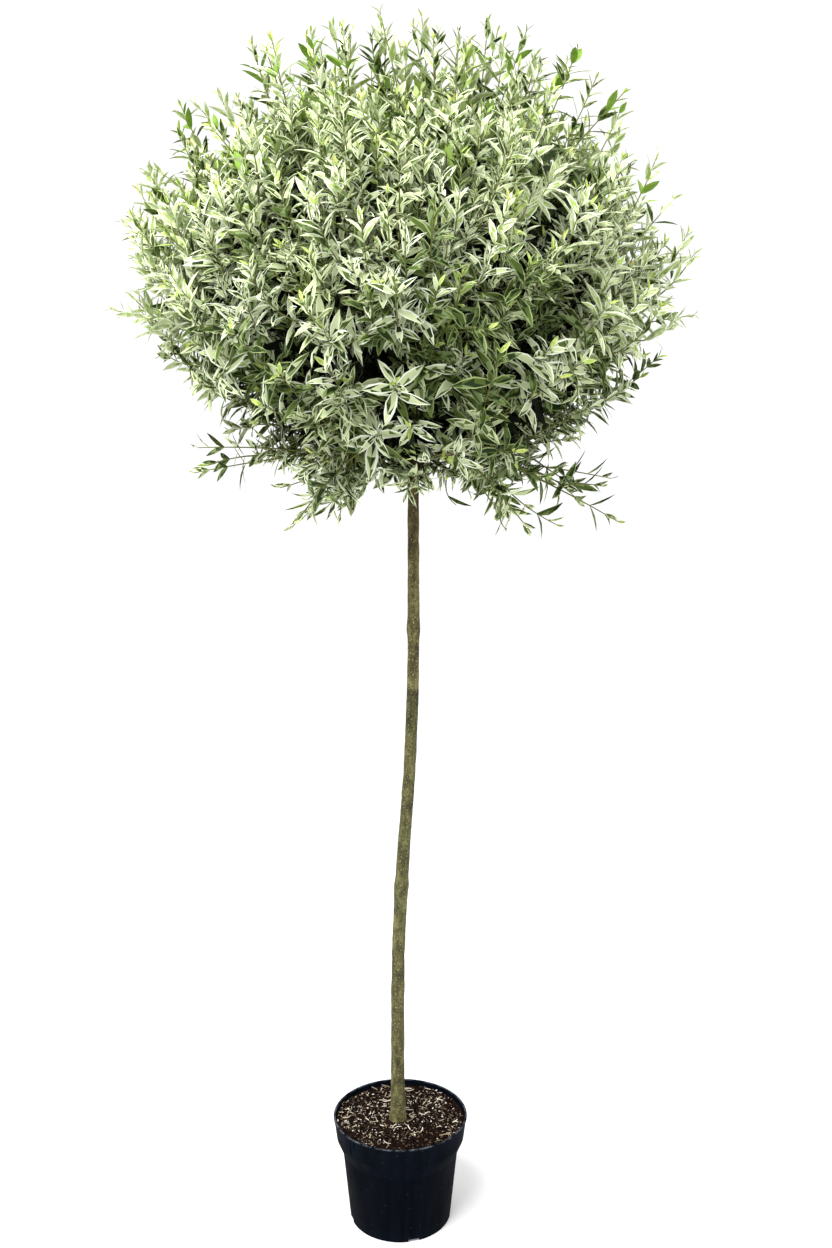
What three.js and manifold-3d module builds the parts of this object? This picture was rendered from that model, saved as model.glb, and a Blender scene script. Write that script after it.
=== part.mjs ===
// A willow grown as a standard: a leafy round head grafted on a tall clear trunk, in a round nursery pot.
// Millimetres, +Z up. The origin is the middle of the pot's flat underside.
// The front, from which the crown's underside arches over the trunk, faces -Y.
import * as THREE from "three";
import { mergeVertices } from "three/addons/utils/BufferGeometryUtils.js";
import Module from "manifold-3d";

const wasm = await Module();
wasm.setup();

// What is left open between pieces that touch.
const SEAT_GAP = 0.3;
// Vertices nearer than this are one vertex, and edges shorter than the other are closed up.
const MERGE = 1e-3;
const SHORTEST_EDGE = 0.02;
// Corners whose turns round a twig differ by less than this, in radians, are level with each other.
const SAME_TURN = 1e-6;

// The moulded pot: a tapered wall under a wider rim band.
const POT = {
  height: 223,
  rimRadius: 140,
  bandHeight: 45,
  bandFootRadius: 133.5,
  shoulderRadius: 120.5,
  footRadius: 105.5,
  footRound: 3,
  shoulderDrop: 30,
  wall: 2.6,
  base: 3.4,
  lip: 1.4,
  lipHeight: 4,
  sides: 40,
};
// Drainage slots cut through the edge of the foot.
const DRAIN = { count: 4, firstBearing: 286, width: 24, height: 8, depth: 15 };
// Slits for a label, cut through the band from just below the lip.
const SLITS = {
  width: 2.8,
  belowRim: 4,
  places: [
    { bearing: 222.8, height: 32 },
    { bearing: 227.7, height: 16 },
  ],
};

const SOIL = { belowRim: 14, fallToWall: 4, padRadius: 42 };

// The trunk rises from the soil, eases over to one side half way up, and ends in the grafted knob.
const TRUNK = {
  foot: POT.height - SOIL.belowRim + SEAT_GAP,
  top: 1590,
  footRadius: 14.4,
  topRadius: 10.6,
  flare: 4.4,
  flareHeight: 30,
  flareRings: [-0.5, 0.35, 1],
  ease: { from: 400, to: 1290, left: -5, right: 28 },
  wave: { reach: 4, length: 760 },
  knots: [
    { height: 722, bulge: 1.9 },
    { height: 1250, bulge: 2.0 },
  ],
  knotSpread: 17,
  sides: 8,
  rings: 26,
};
const KNOB = { radius: 26, height: 31, around: 10, upward: 6 };

// The crown's reach: a body of revolution, squarer below its widest level than above it.
const CROWN = { x: 17, z: 1930, radius: 532, halfHeight: 448, squareAbove: 2.2, squareBelow: 1.7 };
const REACH_STEP = 5;
// Seen from the front, the crown's underside arches over the trunk between two skirts.
const ARCH = { halfWidth: 58, top: 1600, steepness: 1.6, lowest: 1448 };

// The masses of foliage, one at the end of each bough, in three tiers.
const TIERS = [
  { tier: "lower", count: 6, firstBearing: 0, rise: 3 },
  { tier: "middle", count: 6, firstBearing: 28, rise: 35 },
  { tier: "top", count: 4, firstBearing: 205, rise: 66 },
];
const BOUGH = { reach: 84, baseRadius: 6.2, tipRadius: 4.6, sides: 5 };
// A mass's stem carries on from its bough into the mass's dense middle, a rough lump. Both, and where the
// shoots leave them, are set out as shares of the way from the head to the crown's reach.
const STEM = { tipAt: 0.47, tipRadius: 3, sides: 3 };
const CORE = { middleAt: 0.47, halfLength: 0.17, radius: 34, roughness: 0.2 };
const MASS_GAP = 3;

// Shoots run from a mass's stem to points spread evenly over the crown's reach. One shorter than the full
// length has smaller leaves.
const SHOOTS = {
  count: 122,
  leastReach: 0.86,
  firstAt: 0.33,
  lastAt: 0.6,
  bendAt: 0.3,
  rise: 0.16,
  alongStem: 0.3,
  baseRadius: 3.6,
  tipRadius: 2.2,
  fullLength: 290,
  clear: 9,
  attempts: 8,
  overReach: 0.01,
};
// Shoots that stand out of the crown's outline: bearing round the crown's axis, height above the pot's foot
// and distance out.
const STRAYS = [
  { bearing: 280, height: 2395, out: 150 },
  { bearing: 322, height: 2318, out: 262 },
  { bearing: 195, height: 2362, out: 190 },
  { bearing: 178, height: 2035, out: 545 },
  { bearing: 187, height: 1862, out: 556 },
  { bearing: 3, height: 1862, out: 556 },
  { bearing: 345, height: 1470, out: 408 },
  { bearing: 190, height: 1560, out: 410 },
  { bearing: 225, height: 1466, out: 290 },
  { bearing: 318, height: 1455, out: 300 },
  { bearing: 138, height: 1462, out: 300 },
  { bearing: 42, height: 1470, out: 310 },
  { bearing: 70, height: 1600, out: 440 },
  { bearing: 112, height: 1590, out: 430 },
];

// The leaves stand in whorls of three. They are larger than life, because each stands for a spray of them.
const LEAF = {
  length: 150,
  width: 56,
  thickness: 4,
  fold: 5,
  widestAt: 0.4,
  spread: 52,
  spreadVariety: 0.15,
  perWhorl: 3,
  whorlSpacing: 62,
  notchRadius: 7,
  shrink: 0.25,
  endShare: 0.75,
  clear: 16,
  lengths: [1, 0.65],
};

const UP = new THREE.Vector3(0, 0, 1);
const GOLDEN_TURN = Math.PI * (3 - Math.sqrt(5));
const { lerp, smoothstep, smootherstep, degToRad } = THREE.MathUtils;

// Numbers from 0 to 1 that are the same on every run.
function seeded(seed) {
  let state = seed;
  return () => {
    state = (state * 1664525 + 1013904223) % 2 ** 32;
    return state / 2 ** 32;
  };
}

// A unit vector from a bearing round +Z, 0 along +X, and a rise above the level, both in degrees.
function heading(bearing, rise) {
  const level = Math.cos(degToRad(rise));
  const turn = degToRad(bearing);
  return new THREE.Vector3(Math.cos(turn) * level, Math.sin(turn) * level, Math.sin(degToRad(rise)));
}

// A closed geometry as a solid that can be joined and cut.
function solid(geometry) {
  const bare = new THREE.BufferGeometry().setAttribute("position", geometry.getAttribute("position"));
  if (geometry.index) bare.setIndex(geometry.index);
  const merged = mergeVertices(bare, MERGE);
  return new wasm.Manifold(
    new wasm.Mesh({
      numProp: 3,
      vertProperties: new Float32Array(merged.attributes.position.array),
      triVerts: new Uint32Array(merged.index.array),
    }),
  );
}

function geometryOf(made) {
  const { vertProperties, triVerts } = made.getMesh();
  const geometry = new THREE.BufferGeometry();
  geometry.setAttribute("position", new THREE.BufferAttribute(vertProperties, 3));
  return geometry.setIndex(new THREE.BufferAttribute(triVerts, 1));
}

// The largest body of a solid once its shortest edges are closed up, without scraps or sealed hollows.
function whole(made) {
  const bodies = solid(geometryOf(made.simplify(SHORTEST_EDGE))).decompose();
  return bodies.reduce((best, body) => (body.volume() > best.volume() ? body : best));
}

function mesh(name, made, material) {
  const geometry = geometryOf(made);
  geometry.computeVertexNormals();
  const shown = new THREE.Mesh(geometry, material);
  shown.name = name;
  return shown;
}

// A limb of straight stretches between points, with a radius at each and flat ends.
function limb(points, radii, sides) {
  const curve = new THREE.CatmullRomCurve3(points);
  const { normals, binormals } = curve.computeFrenetFrames(points.length - 1, false);
  const places = points.flatMap((point, ring) =>
    Array.from({ length: sides }, (_, side) => {
      const turn = (2 * Math.PI * side) / sides;
      const place = point.clone().addScaledVector(normals[ring], radii[ring] * Math.cos(turn));
      return place.addScaledVector(binormals[ring], radii[ring] * Math.sin(turn)).toArray();
    }).flat(),
  );
  const last = (points.length - 1) * sides;
  const faces = [];
  for (let side = 0; side < sides; side++) {
    const next = (side + 1) % sides;
    for (let low = 0; low < last; low += sides) {
      faces.push(low + side, low + next, low + sides + next);
      faces.push(low + side, low + sides + next, low + sides + side);
    }
  }
  for (let side = 1; side + 1 < sides; side++) {
    faces.push(0, side + 1, side, last, last + side, last + side + 1);
  }
  const geometry = new THREE.BufferGeometry();
  geometry.setAttribute("position", new THREE.Float32BufferAttribute(places, 3));
  geometry.setIndex(faces);
  return solid(geometry);
}

// A body of revolution from a closed profile of radius and height pairs.
function lathe(profile) {
  const points = profile.map(([radius, height]) => new THREE.Vector2(radius, height));
  return solid(new THREE.LatheGeometry(points, POT.sides).rotateX(Math.PI / 2));
}

// An upright box, turned to a bearing, with its middle at a distance from the pot's axis.
function boxAt(bearing, distance, low, { deep, wide, high }) {
  const box = new THREE.BoxGeometry(deep, wide, high).translate(distance, 0, low + high / 2);
  return solid(box.rotateZ(degToRad(bearing)));
}

function potOutside() {
  const { height, rimRadius, bandFootRadius, shoulderRadius, footRadius, footRound, lip, lipHeight } = POT;
  const bandFoot = height - POT.bandHeight;
  return lathe([
    [0, 0],
    [footRadius - footRound, 0],
    [footRadius, footRound],
    [shoulderRadius, bandFoot - POT.shoulderDrop],
    [bandFootRadius, bandFoot],
    [rimRadius - lip, height - lipHeight - lip],
    [rimRadius, height - lipHeight],
    [rimRadius, height],
    [0, height],
  ]);
}

function potCavity() {
  const { height, rimRadius, bandFootRadius, shoulderRadius, footRadius, wall, base, lip } = POT;
  const bandFoot = height - POT.bandHeight;
  return lathe([
    [0, base],
    [footRadius - wall, base],
    [shoulderRadius - wall, bandFoot - POT.shoulderDrop + wall],
    [bandFootRadius - wall, bandFoot + wall],
    [rimRadius - lip - wall, height],
    [rimRadius - lip - wall, height + wall],
    [0, height + wall],
  ]);
}

function pot() {
  const bandMiddle = (POT.rimRadius + POT.bandFootRadius) / 2;
  const drain = { deep: DRAIN.depth * 2, wide: DRAIN.width, high: DRAIN.height * 2 };
  let made = potOutside().subtract(potCavity());
  for (const { bearing, height } of SLITS.places) {
    const slit = { deep: POT.wall * 4, wide: SLITS.width, high: height };
    made = made.subtract(boxAt(bearing, bandMiddle, POT.height - SLITS.belowRim - height, slit));
  }
  for (let i = 0; i < DRAIN.count; i++) {
    const bearing = DRAIN.firstBearing + (360 * i) / DRAIN.count;
    made = made.subtract(boxAt(bearing, POT.footRadius, -DRAIN.height, drain));
  }
  return whole(made);
}

// The pot's filling, domed a little towards the flat pad that the trunk stands on.
function pottingSoil() {
  const { height, bandHeight, bandFootRadius, shoulderRadius, footRadius, rimRadius, lip, wall } = POT;
  const top = height - SOIL.belowRim;
  const edge = top - SOIL.fallToWall;
  const bandFoot = height - bandHeight;
  const inset = wall + SEAT_GAP * 2;
  const edgeRadius = lerp(bandFootRadius, rimRadius - lip, (edge - bandFoot) / bandHeight);
  return lathe([
    [0, POT.base + SEAT_GAP],
    [footRadius - inset, POT.base + SEAT_GAP],
    [shoulderRadius - inset, bandFoot - POT.shoulderDrop + wall],
    [bandFootRadius - inset, bandFoot + wall],
    [edgeRadius - inset, edge],
    [SOIL.padRadius, top],
    [0, top],
  ]);
}

// The middle of the trunk at a height.
function trunkMiddle(height) {
  const { ease, wave } = TRUNK;
  const x = lerp(ease.left, ease.right, smootherstep(height, ease.from, ease.to));
  const y = wave.reach * Math.sin((2 * Math.PI * (height - TRUNK.foot)) / wave.length);
  return new THREE.Vector3(x, y * (1 - smoothstep(height, ease.to, TRUNK.top)), height);
}

function trunkRadius(height) {
  const rise = height - TRUNK.foot;
  let radius = lerp(TRUNK.footRadius, TRUNK.topRadius, rise / (TRUNK.top - TRUNK.foot));
  radius += TRUNK.flare * Math.exp(-rise / TRUNK.flareHeight);
  for (const knot of TRUNK.knots) {
    radius += knot.bulge * Math.exp(-(((height - knot.height) / TRUNK.knotSpread) ** 2));
  }
  return radius;
}

// Where the boughs part, in the middle of the knob.
const HEAD = trunkMiddle(TRUNK.top);

// The trunk and its knob, cut level at its foot. The copy that cuts the boughs' feet is thicker by grow.
function trunk(grow = 0) {
  const heights = TRUNK.flareRings.map((share) => TRUNK.foot + TRUNK.flareHeight * share);
  for (let ring = 0; ring <= TRUNK.rings; ring++) {
    heights.push(lerp(TRUNK.foot, TRUNK.top, ring / TRUNK.rings));
  }
  for (const { height } of TRUNK.knots) {
    heights.push(height - TRUNK.knotSpread, height, height + TRUNK.knotSpread);
  }
  heights.sort((a, b) => a - b);
  const radii = heights.map((height) => trunkRadius(height) + grow);
  const knob = new THREE.SphereGeometry(1, KNOB.around, KNOB.upward).rotateX(Math.PI / 2);
  knob.scale(KNOB.radius + grow, KNOB.radius + grow, KNOB.height + grow).translate(HEAD.x, HEAD.y, HEAD.z);
  const made = limb(heights.map(trunkMiddle), radii, TRUNK.sides).add(solid(knob));
  return whole(made.trimByPlane([0, 0, 1], TRUNK.foot));
}

const CROWN_MIDDLE = new THREE.Vector3(CROWN.x, 0, CROWN.z);

// How far out a place is: 1 on the crown's reach, and less inside it.
function crownLevel(place) {
  const square = place.z > CROWN.z ? CROWN.squareAbove : CROWN.squareBelow;
  const across = Math.hypot(place.x - CROWN.x, place.y) / CROWN.radius;
  const upward = Math.abs(place.z - CROWN.z) / CROWN.halfHeight;
  return (across ** square + upward ** square) ** (1 / square);
}

// The lowest that foliage hangs at a place's distance to the side of the trunk.
function underside(place) {
  const beside = Math.max(Math.abs(place.x - HEAD.x) - ARCH.halfWidth, 0);
  return Math.max(ARCH.top - ARCH.steepness * beside, ARCH.lowest);
}

// The masses, each with its axis from the head and the planes between it and the others.
function placeMasses() {
  const masses = TIERS.flatMap(({ tier, count, firstBearing, rise }) =>
    Array.from({ length: count }, (_, i) => ({
      name: `${tier}_${i + 1}`,
      axis: heading(firstBearing + (360 * i) / count, rise),
    })),
  );
  for (const mass of masses) {
    const others = masses.filter((other) => other !== mass);
    mass.walls = others.map((other) => mass.axis.clone().sub(other.axis).normalize());
    mass.far = BOUGH.reach;
    while (crownLevel(onAxis(mass, mass.far)) < 1) mass.far += REACH_STEP;
  }
  return masses;
}

// True if the place is in the mass's own space: its cone from the head, clear of the boughs and the trunk,
// above the crown's underside, and no further out than the reach.
function holds(mass, place, reach, margin = MASS_GAP / 2) {
  const from = place.clone().sub(HEAD);
  return (
    from.length() > BOUGH.reach + SEAT_GAP * 2 &&
    mass.walls.every((wall) => from.dot(wall) > margin) &&
    place.z > underside(place) &&
    crownLevel(place) < reach
  );
}

function bough(mass, grownTrunk) {
  const full = limb([HEAD, onAxis(mass, BOUGH.reach)], [BOUGH.baseRadius, BOUGH.tipRadius], BOUGH.sides);
  return whole(full.subtract(grownTrunk));
}

// A place on the mass's axis at a distance from the head.
function onAxis(mass, distance) {
  return HEAD.clone().addScaledVector(mass.axis, distance);
}

function core(mass, random) {
  const bare = new THREE.BufferGeometry();
  bare.setAttribute("position", new THREE.IcosahedronGeometry(1, 0).getAttribute("position"));
  const lump = mergeVertices(bare, MERGE);
  const places = lump.attributes.position;
  const turn = new THREE.Quaternion().setFromUnitVectors(UP, mass.axis);
  const middle = onAxis(mass, mass.far * CORE.middleAt);
  for (let i = 0; i < places.count; i++) {
    const place = new THREE.Vector3().fromBufferAttribute(places, i);
    place.multiply(new THREE.Vector3(CORE.radius, CORE.radius, CORE.halfLength * mass.far));
    place.multiplyScalar(1 + CORE.roughness * (2 * random() - 1)).applyQuaternion(turn).add(middle);
    places.setXYZ(i, ...place);
  }
  return solid(lump);
}

// True if places along a stretch lie further than the clearance from the mass's leaves and twigs so far.
function isClear(from, to, taken, clearance) {
  const nearest = new THREE.Vector3();
  const gap = (line, place) => line.closestPointToPoint(place, true, nearest).distanceTo(place);
  return [0.25, 0.5, 0.75, 1].every((share) => {
    const place = from.clone().lerp(to, share);
    return taken.every((line) => gap(line, place) > clearance);
  });
}

// A twig's start on the stem, its bend, and its end one leaf short of the target, or null where none fits.
function twigRoute(mass, target, reach, random, taken) {
  for (let attempt = 0; attempt < SHOOTS.attempts; attempt++) {
    const start = onAxis(mass, mass.far * lerp(SHOOTS.firstAt, SHOOTS.lastAt, random()));
    const chord = target.clone().sub(start);
    const ease = 1 - attempt / SHOOTS.attempts;
    const lead = chord.clone().normalize().addScaledVector(mass.axis, SHOOTS.alongStem * ease);
    lead.addScaledVector(UP, SHOOTS.rise * ease).normalize();
    const bend = start.clone().addScaledVector(lead, chord.length() * SHOOTS.bendAt);
    const way = target.clone().sub(bend).normalize();
    const leafLength = LEAF.length * Math.min(1, chord.length() / SHOOTS.fullLength);
    const end = target.clone().addScaledVector(way, -leafLength * LEAF.endShare);
    const margin = MASS_GAP / 2 + SHOOTS.baseRadius;
    const inside = [bend, end].every((place) => holds(mass, place, reach, margin));
    const leaves = start.clone().lerp(bend, 0.5);
    const clear = isClear(leaves, bend, taken, SHOOTS.clear) && isClear(bend, end, taken, SHOOTS.clear);
    if (inside && clear) return { start, bend, end, way, leafLength };
  }
  return null;
}

// A closed surface put together ring by ring. A ring is a list of [angle, vertex] pairs in order of angle.
class Loft {
  places = [];
  faces = [];

  vertex(place) {
    this.places.push(place.x, place.y, place.z);
    return this.places.length / 3 - 1;
  }

  // A ring of as many vertices as a leaf whorl has, round a middle on the way.
  ring({ middle, way, across }, radius, firstAngle = 0) {
    return Array.from({ length: LEAF.perWhorl }, (_, i) => {
      const angle = firstAngle + (2 * Math.PI * i) / LEAF.perWhorl;
      return [angle, this.vertex(middle.clone().addScaledVector(spoke(way, across, angle), radius))];
    });
  }

  // Joins two rings, turning round both at once. Where both could move on, the lower one does.
  bridge(low, high) {
    const turned = (ring, i) => ring[i % ring.length][0] + 2 * Math.PI * Math.floor(i / ring.length);
    let i = 0;
    let j = 0;
    while (i < low.length || j < high.length) {
      const [, from] = low[i % low.length];
      const [, to] = high[j % high.length];
      const ahead = turned(low, i + 1) - turned(high, j + 1);
      if (j < high.length && (i >= low.length || ahead > SAME_TURN)) {
        this.faces.push(from, high[(j + 1) % high.length][1], to);
        j++;
      } else {
        this.faces.push(from, low[(i + 1) % low.length][1], to);
        i++;
      }
    }
  }

  // Joins an outline to the ring below it, and to the like ring above it by the same faces turned over, so
  // that the upper side keeps its distance from the lower one all along the outline.
  wrap(below, outline, above) {
    const first = this.faces.length;
    this.bridge(below, outline);
    const raised = new Map(below.map(([, corner], i) => [corner, above[i][1]]));
    const turnedOver = this.faces.slice(first).reverse();
    this.faces.push(...turnedOver.map((corner) => raised.get(corner) ?? corner));
  }

  solid() {
    const geometry = new THREE.BufferGeometry();
    geometry.setAttribute("position", new THREE.Float32BufferAttribute(this.places, 3));
    return solid(geometry.setIndex(this.faces));
  }
}

// A unit vector square to the way, turned from across by an angle.
function spoke(way, across, angle) {
  const square = across.clone().addScaledVector(way, -across.dot(way)).normalize();
  return square.applyAxisAngle(way, angle);
}

// One leaf's tip and edges from its foot on a twig, or null where it would leave the mass's space.
function leafPlaces({ mass, reach, taken }, { middle, way, across }, angle, lean, size) {
  const side = way.clone().cross(spoke(way, across, angle));
  const leafWay = way.clone().applyAxisAngle(side, lean);
  const upper = side.clone().cross(leafWay);
  const scale = size / LEAF.length;
  const tip = middle.clone().addScaledVector(leafWay, size);
  const edge = middle.clone().lerp(tip, LEAF.widestAt).addScaledVector(upper, LEAF.fold * scale);
  const halfWidth = side.multiplyScalar((LEAF.width / 2) * scale);
  const places = [edge.clone().sub(halfWidth), tip, edge.clone().add(halfWidth)];
  const inside = places.every((place) => holds(mass, place, reach));
  return inside && isClear(middle, tip, taken, LEAF.clear) ? places : null;
}

// The outline of a whorl of leaves round a twig, each drawn in to a bud where it doesn't fit.
function whorlOutline(growth, stand, firstAngle) {
  const { loft, leafLength, random, taken } = growth;
  const { middle, way, across } = stand;
  const step = (2 * Math.PI) / LEAF.perWhorl;
  const edgeReach = LEAF.length * LEAF.widestAt * Math.sin(degToRad(LEAF.spread));
  const edgeTurn = Math.atan(LEAF.width / 2 / edgeReach);
  const near = (angle) => middle.clone().addScaledVector(spoke(way, across, angle), LEAF.notchRadius);
  const outline = [];
  for (let i = 0; i < LEAF.perWhorl; i++) {
    const angle = firstAngle + step * i;
    const lean = degToRad(LEAF.spread * (1 + LEAF.spreadVariety * (2 * random() - 1)));
    const full = leafLength * (1 - LEAF.shrink * random());
    let places = null;
    for (const share of LEAF.lengths) places ??= leafPlaces(growth, stand, angle, lean, full * share);
    if (places) {
      taken.push(new THREE.Line3(middle, places[1]));
      places.forEach((place, j) => outline.push([angle + edgeTurn * (j - 1), loft.vertex(place)]));
    } else {
      outline.push([angle, loft.vertex(near(angle))]);
    }
    outline.push([angle + step / 2, loft.vertex(near(angle + step / 2))]);
  }
  return outline;
}

// Carries a twig on from its top ring through a whorl of leaves, and returns the ring above them.
function whorl(growth, top, stand, radius, firstAngle) {
  const { loft, leafLength } = growth;
  const half = (LEAF.thickness * leafLength) / LEAF.length / 2;
  const ringAt = (along) => {
    const middle = stand.middle.clone().addScaledVector(stand.way, along);
    return loft.ring({ ...stand, middle }, radius, firstAngle);
  };
  const below = ringAt(-half);
  const above = ringAt(half);
  loft.bridge(top, below);
  loft.wrap(below, whorlOutline(growth, stand, firstAngle), above);
  return above;
}

// A shoot: a three-sided twig with whorls of leaves along its outer stretch, and a leaf at its end that
// touches the target.
function shoot(mass, target, random, taken) {
  const reach = Math.max(crownLevel(target), 1) + SHOOTS.overReach;
  const route = twigRoute(mass, target, reach, random, taken);
  if (!route) return [];
  const { start, bend, end, way, leafLength } = route;
  const across = way.clone().cross(end.clone().sub(CROWN_MIDDLE)).normalize();
  const firstWay = bend.clone().sub(start).normalize();
  const loft = new Loft();
  const foot = loft.ring({ middle: start, way: firstWay, across }, SHOOTS.baseRadius);
  loft.faces.push(foot[0][1], foot[2][1], foot[1][1]);
  let top = loft.ring({ middle: bend, way: firstWay.add(way).normalize(), across }, SHOOTS.baseRadius);
  loft.bridge(foot, top);
  const growth = { loft, mass, reach, leafLength, random, taken };
  const count = Math.max(1, Math.round(bend.distanceTo(end) / LEAF.whorlSpacing));
  for (let i = 1; i <= count; i++) {
    const stand = { middle: bend.clone().lerp(end, i / count), way, across };
    const radius = lerp(SHOOTS.baseRadius, SHOOTS.tipRadius, i / count);
    top = whorl(growth, top, stand, radius, ((i % 2) * Math.PI) / LEAF.perWhorl);
  }
  taken.push(new THREE.Line3(start, bend), new THREE.Line3(bend, end));
  return [endLeaf(loft, { middle: end, way, across }, top, leafLength)];
}

// Closes a shoot with the leaf at its end, whose two edges and keel carry on from the twig's three corners.
function endLeaf(loft, { middle, way, across }, top, leafLength) {
  const scale = leafLength / LEAF.length;
  const size = leafLength * LEAF.endShare;
  const keelTurn = top[2][0];
  const upper = spoke(way, across, keelTurn + Math.PI);
  const side = way.clone().cross(upper);
  const widest = middle.clone().addScaledVector(way, size * LEAF.widestAt);
  const edge = widest.clone().addScaledVector(upper, LEAF.fold * scale);
  const halfWidth = side.multiplyScalar((LEAF.width / 2) * LEAF.endShare * scale);
  const ring = [
    [top[0][0], loft.vertex(edge.clone().sub(halfWidth))],
    [top[1][0], loft.vertex(edge.clone().add(halfWidth))],
    [keelTurn, loft.vertex(widest.clone().addScaledVector(upper, -SHOOTS.tipRadius))],
  ];
  const tip = loft.vertex(middle.clone().addScaledVector(way, size));
  loft.bridge(top, ring);
  ring.forEach(([, corner], i) => loft.faces.push(corner, ring[(i + 1) % ring.length][1], tip));
  return loft.solid();
}

function foliage(mass, targets, random) {
  const stemEnds = [onAxis(mass, BOUGH.reach + SEAT_GAP), onAxis(mass, mass.far * STEM.tipAt)];
  const stem = limb(stemEnds, [BOUGH.tipRadius, STEM.tipRadius], STEM.sides);
  const pieces = [stem, core(mass, random)];
  const taken = [];
  for (const target of targets) pieces.push(...shoot(mass, target, random, taken));
  return whole(wasm.Manifold.union(pieces));
}

// The shoots' targets: the strays, and then an even spiral over the crown's reach.
function shootTargets(random) {
  const targets = STRAYS.map(({ bearing, height, out }) => {
    const level = heading(bearing, 0).multiplyScalar(out);
    return new THREE.Vector3(CROWN.x + level.x, level.y, height);
  });
  for (let i = 0; i < SHOOTS.count; i++) {
    const height = 1 - (2 * (i + 0.5)) / SHOOTS.count;
    const level = Math.sqrt(1 - height * height);
    const turn = GOLDEN_TURN * i;
    const ray = new THREE.Vector3(level * Math.cos(turn), level * Math.sin(turn), height);
    const full = crownLevel(ray.clone().add(CROWN_MIDDLE));
    const target = ray.multiplyScalar(lerp(SHOOTS.leastReach, 1, random()) / full).add(CROWN_MIDDLE);
    if (target.z > underside(target)) targets.push(target);
  }
  return targets;
}

const plastic = new THREE.MeshStandardMaterial({ color: 0x14181d, roughness: 0.5, metalness: 0 });
const peat = new THREE.MeshStandardMaterial({ color: 0x33241b, roughness: 0.95, metalness: 0 });
const bark = new THREE.MeshStandardMaterial({ color: 0x6c6845, roughness: 0.8, metalness: 0 });
const leafage = new THREE.MeshStandardMaterial({ color: 0xa3b584, roughness: 0.6, metalness: 0 });

function willowStandard() {
  const tree = new THREE.Group();
  tree.name = "willow_standard";
  tree.add(mesh("pot", pot(), plastic));
  tree.add(mesh("potting_soil", pottingSoil(), peat));
  tree.add(mesh("trunk", trunk(), bark));
  const grownTrunk = trunk(SEAT_GAP);
  const random = seeded(3);
  const targets = shootTargets(random);
  for (const mass of placeMasses()) {
    const own = targets.filter((target) => {
      const ray = target.clone().sub(HEAD);
      return mass.walls.every((wall) => ray.dot(wall) > 0);
    });
    tree.add(mesh(`bough_${mass.name}`, bough(mass, grownTrunk), bark));
    tree.add(mesh(`foliage_${mass.name}`, foliage(mass, own, random), leafage));
  }
  return tree;
}

export default willowStandard();
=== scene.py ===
import math
from types import SimpleNamespace as Values

import bmesh
import bpy
import numpy as np
from mathutils import Matrix, Vector, noise


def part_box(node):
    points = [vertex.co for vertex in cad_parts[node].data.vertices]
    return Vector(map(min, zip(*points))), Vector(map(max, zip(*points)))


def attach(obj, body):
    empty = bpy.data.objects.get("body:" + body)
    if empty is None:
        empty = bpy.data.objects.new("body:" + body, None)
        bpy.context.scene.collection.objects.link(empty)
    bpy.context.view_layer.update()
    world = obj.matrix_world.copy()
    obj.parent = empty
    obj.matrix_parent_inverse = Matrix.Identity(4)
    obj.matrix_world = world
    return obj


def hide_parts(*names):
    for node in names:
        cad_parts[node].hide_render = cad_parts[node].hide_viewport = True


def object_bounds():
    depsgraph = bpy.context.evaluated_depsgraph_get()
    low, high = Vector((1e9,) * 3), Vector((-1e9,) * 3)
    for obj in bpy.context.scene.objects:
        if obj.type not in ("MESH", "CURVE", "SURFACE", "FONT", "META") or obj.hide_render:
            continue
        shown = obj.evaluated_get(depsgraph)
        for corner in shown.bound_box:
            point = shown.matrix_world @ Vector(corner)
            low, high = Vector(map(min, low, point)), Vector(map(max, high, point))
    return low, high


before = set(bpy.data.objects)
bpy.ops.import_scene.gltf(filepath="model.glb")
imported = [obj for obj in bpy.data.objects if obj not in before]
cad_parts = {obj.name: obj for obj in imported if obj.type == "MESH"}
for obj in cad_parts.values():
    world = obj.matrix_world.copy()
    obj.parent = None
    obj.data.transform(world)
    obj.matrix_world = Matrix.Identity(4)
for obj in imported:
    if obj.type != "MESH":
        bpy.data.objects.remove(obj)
CAD_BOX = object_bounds()

SEED = 11
BODY = "root"
UP = np.array([0.0, 0.0, 1.0])
GOLDEN_TURN = math.pi * (3 - math.sqrt(5))
# Tubes that rise more steeply than this are set square to +X, and the rest to +Z.
STEEP = 0.8

# The camera stands where the rim and the foot of the pot look as they should.
CAMERA = Values(place=(0.033, -2.355, 1.596), tilt_deg=8.08, lens_mm=34.615, sensor_mm=36.0)

POT_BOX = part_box("pot")
SOIL_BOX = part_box("potting_soil")
POT = Values(
    height=POT_BOX[1].z, rim_radius=POT_BOX[1].x, band_height=0.045, band_foot_radius=0.1335,
    shoulder_radius=0.1205, shoulder_drop=0.030, foot_radius=0.1055, rounding=0.0012, wall=0.0026,
    base=0.0034, lip=0.0014, lip_height=0.004, sides=144, sharp_deg=38,
)
BAND_FOOT = POT.height - POT.band_height
# The pot's radius and height at its foot, at its shoulder and at the foot of its band.
POT_SIDE = [
    (POT.foot_radius, 0),
    (POT.shoulder_radius, BAND_FOOT - POT.shoulder_drop),
    (POT.band_foot_radius, BAND_FOOT),
]
# Bodies of revolution begin this far from their axis.
NEAR_AXIS = 0.0001
DRAIN = Values(count=4, first_bearing=286, width=0.024, height=0.008, depth=0.015)
SLITS = Values(width=0.0028, below_rim=0.004, places=[(222.8, 0.032), (227.7, 0.016)])
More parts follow.
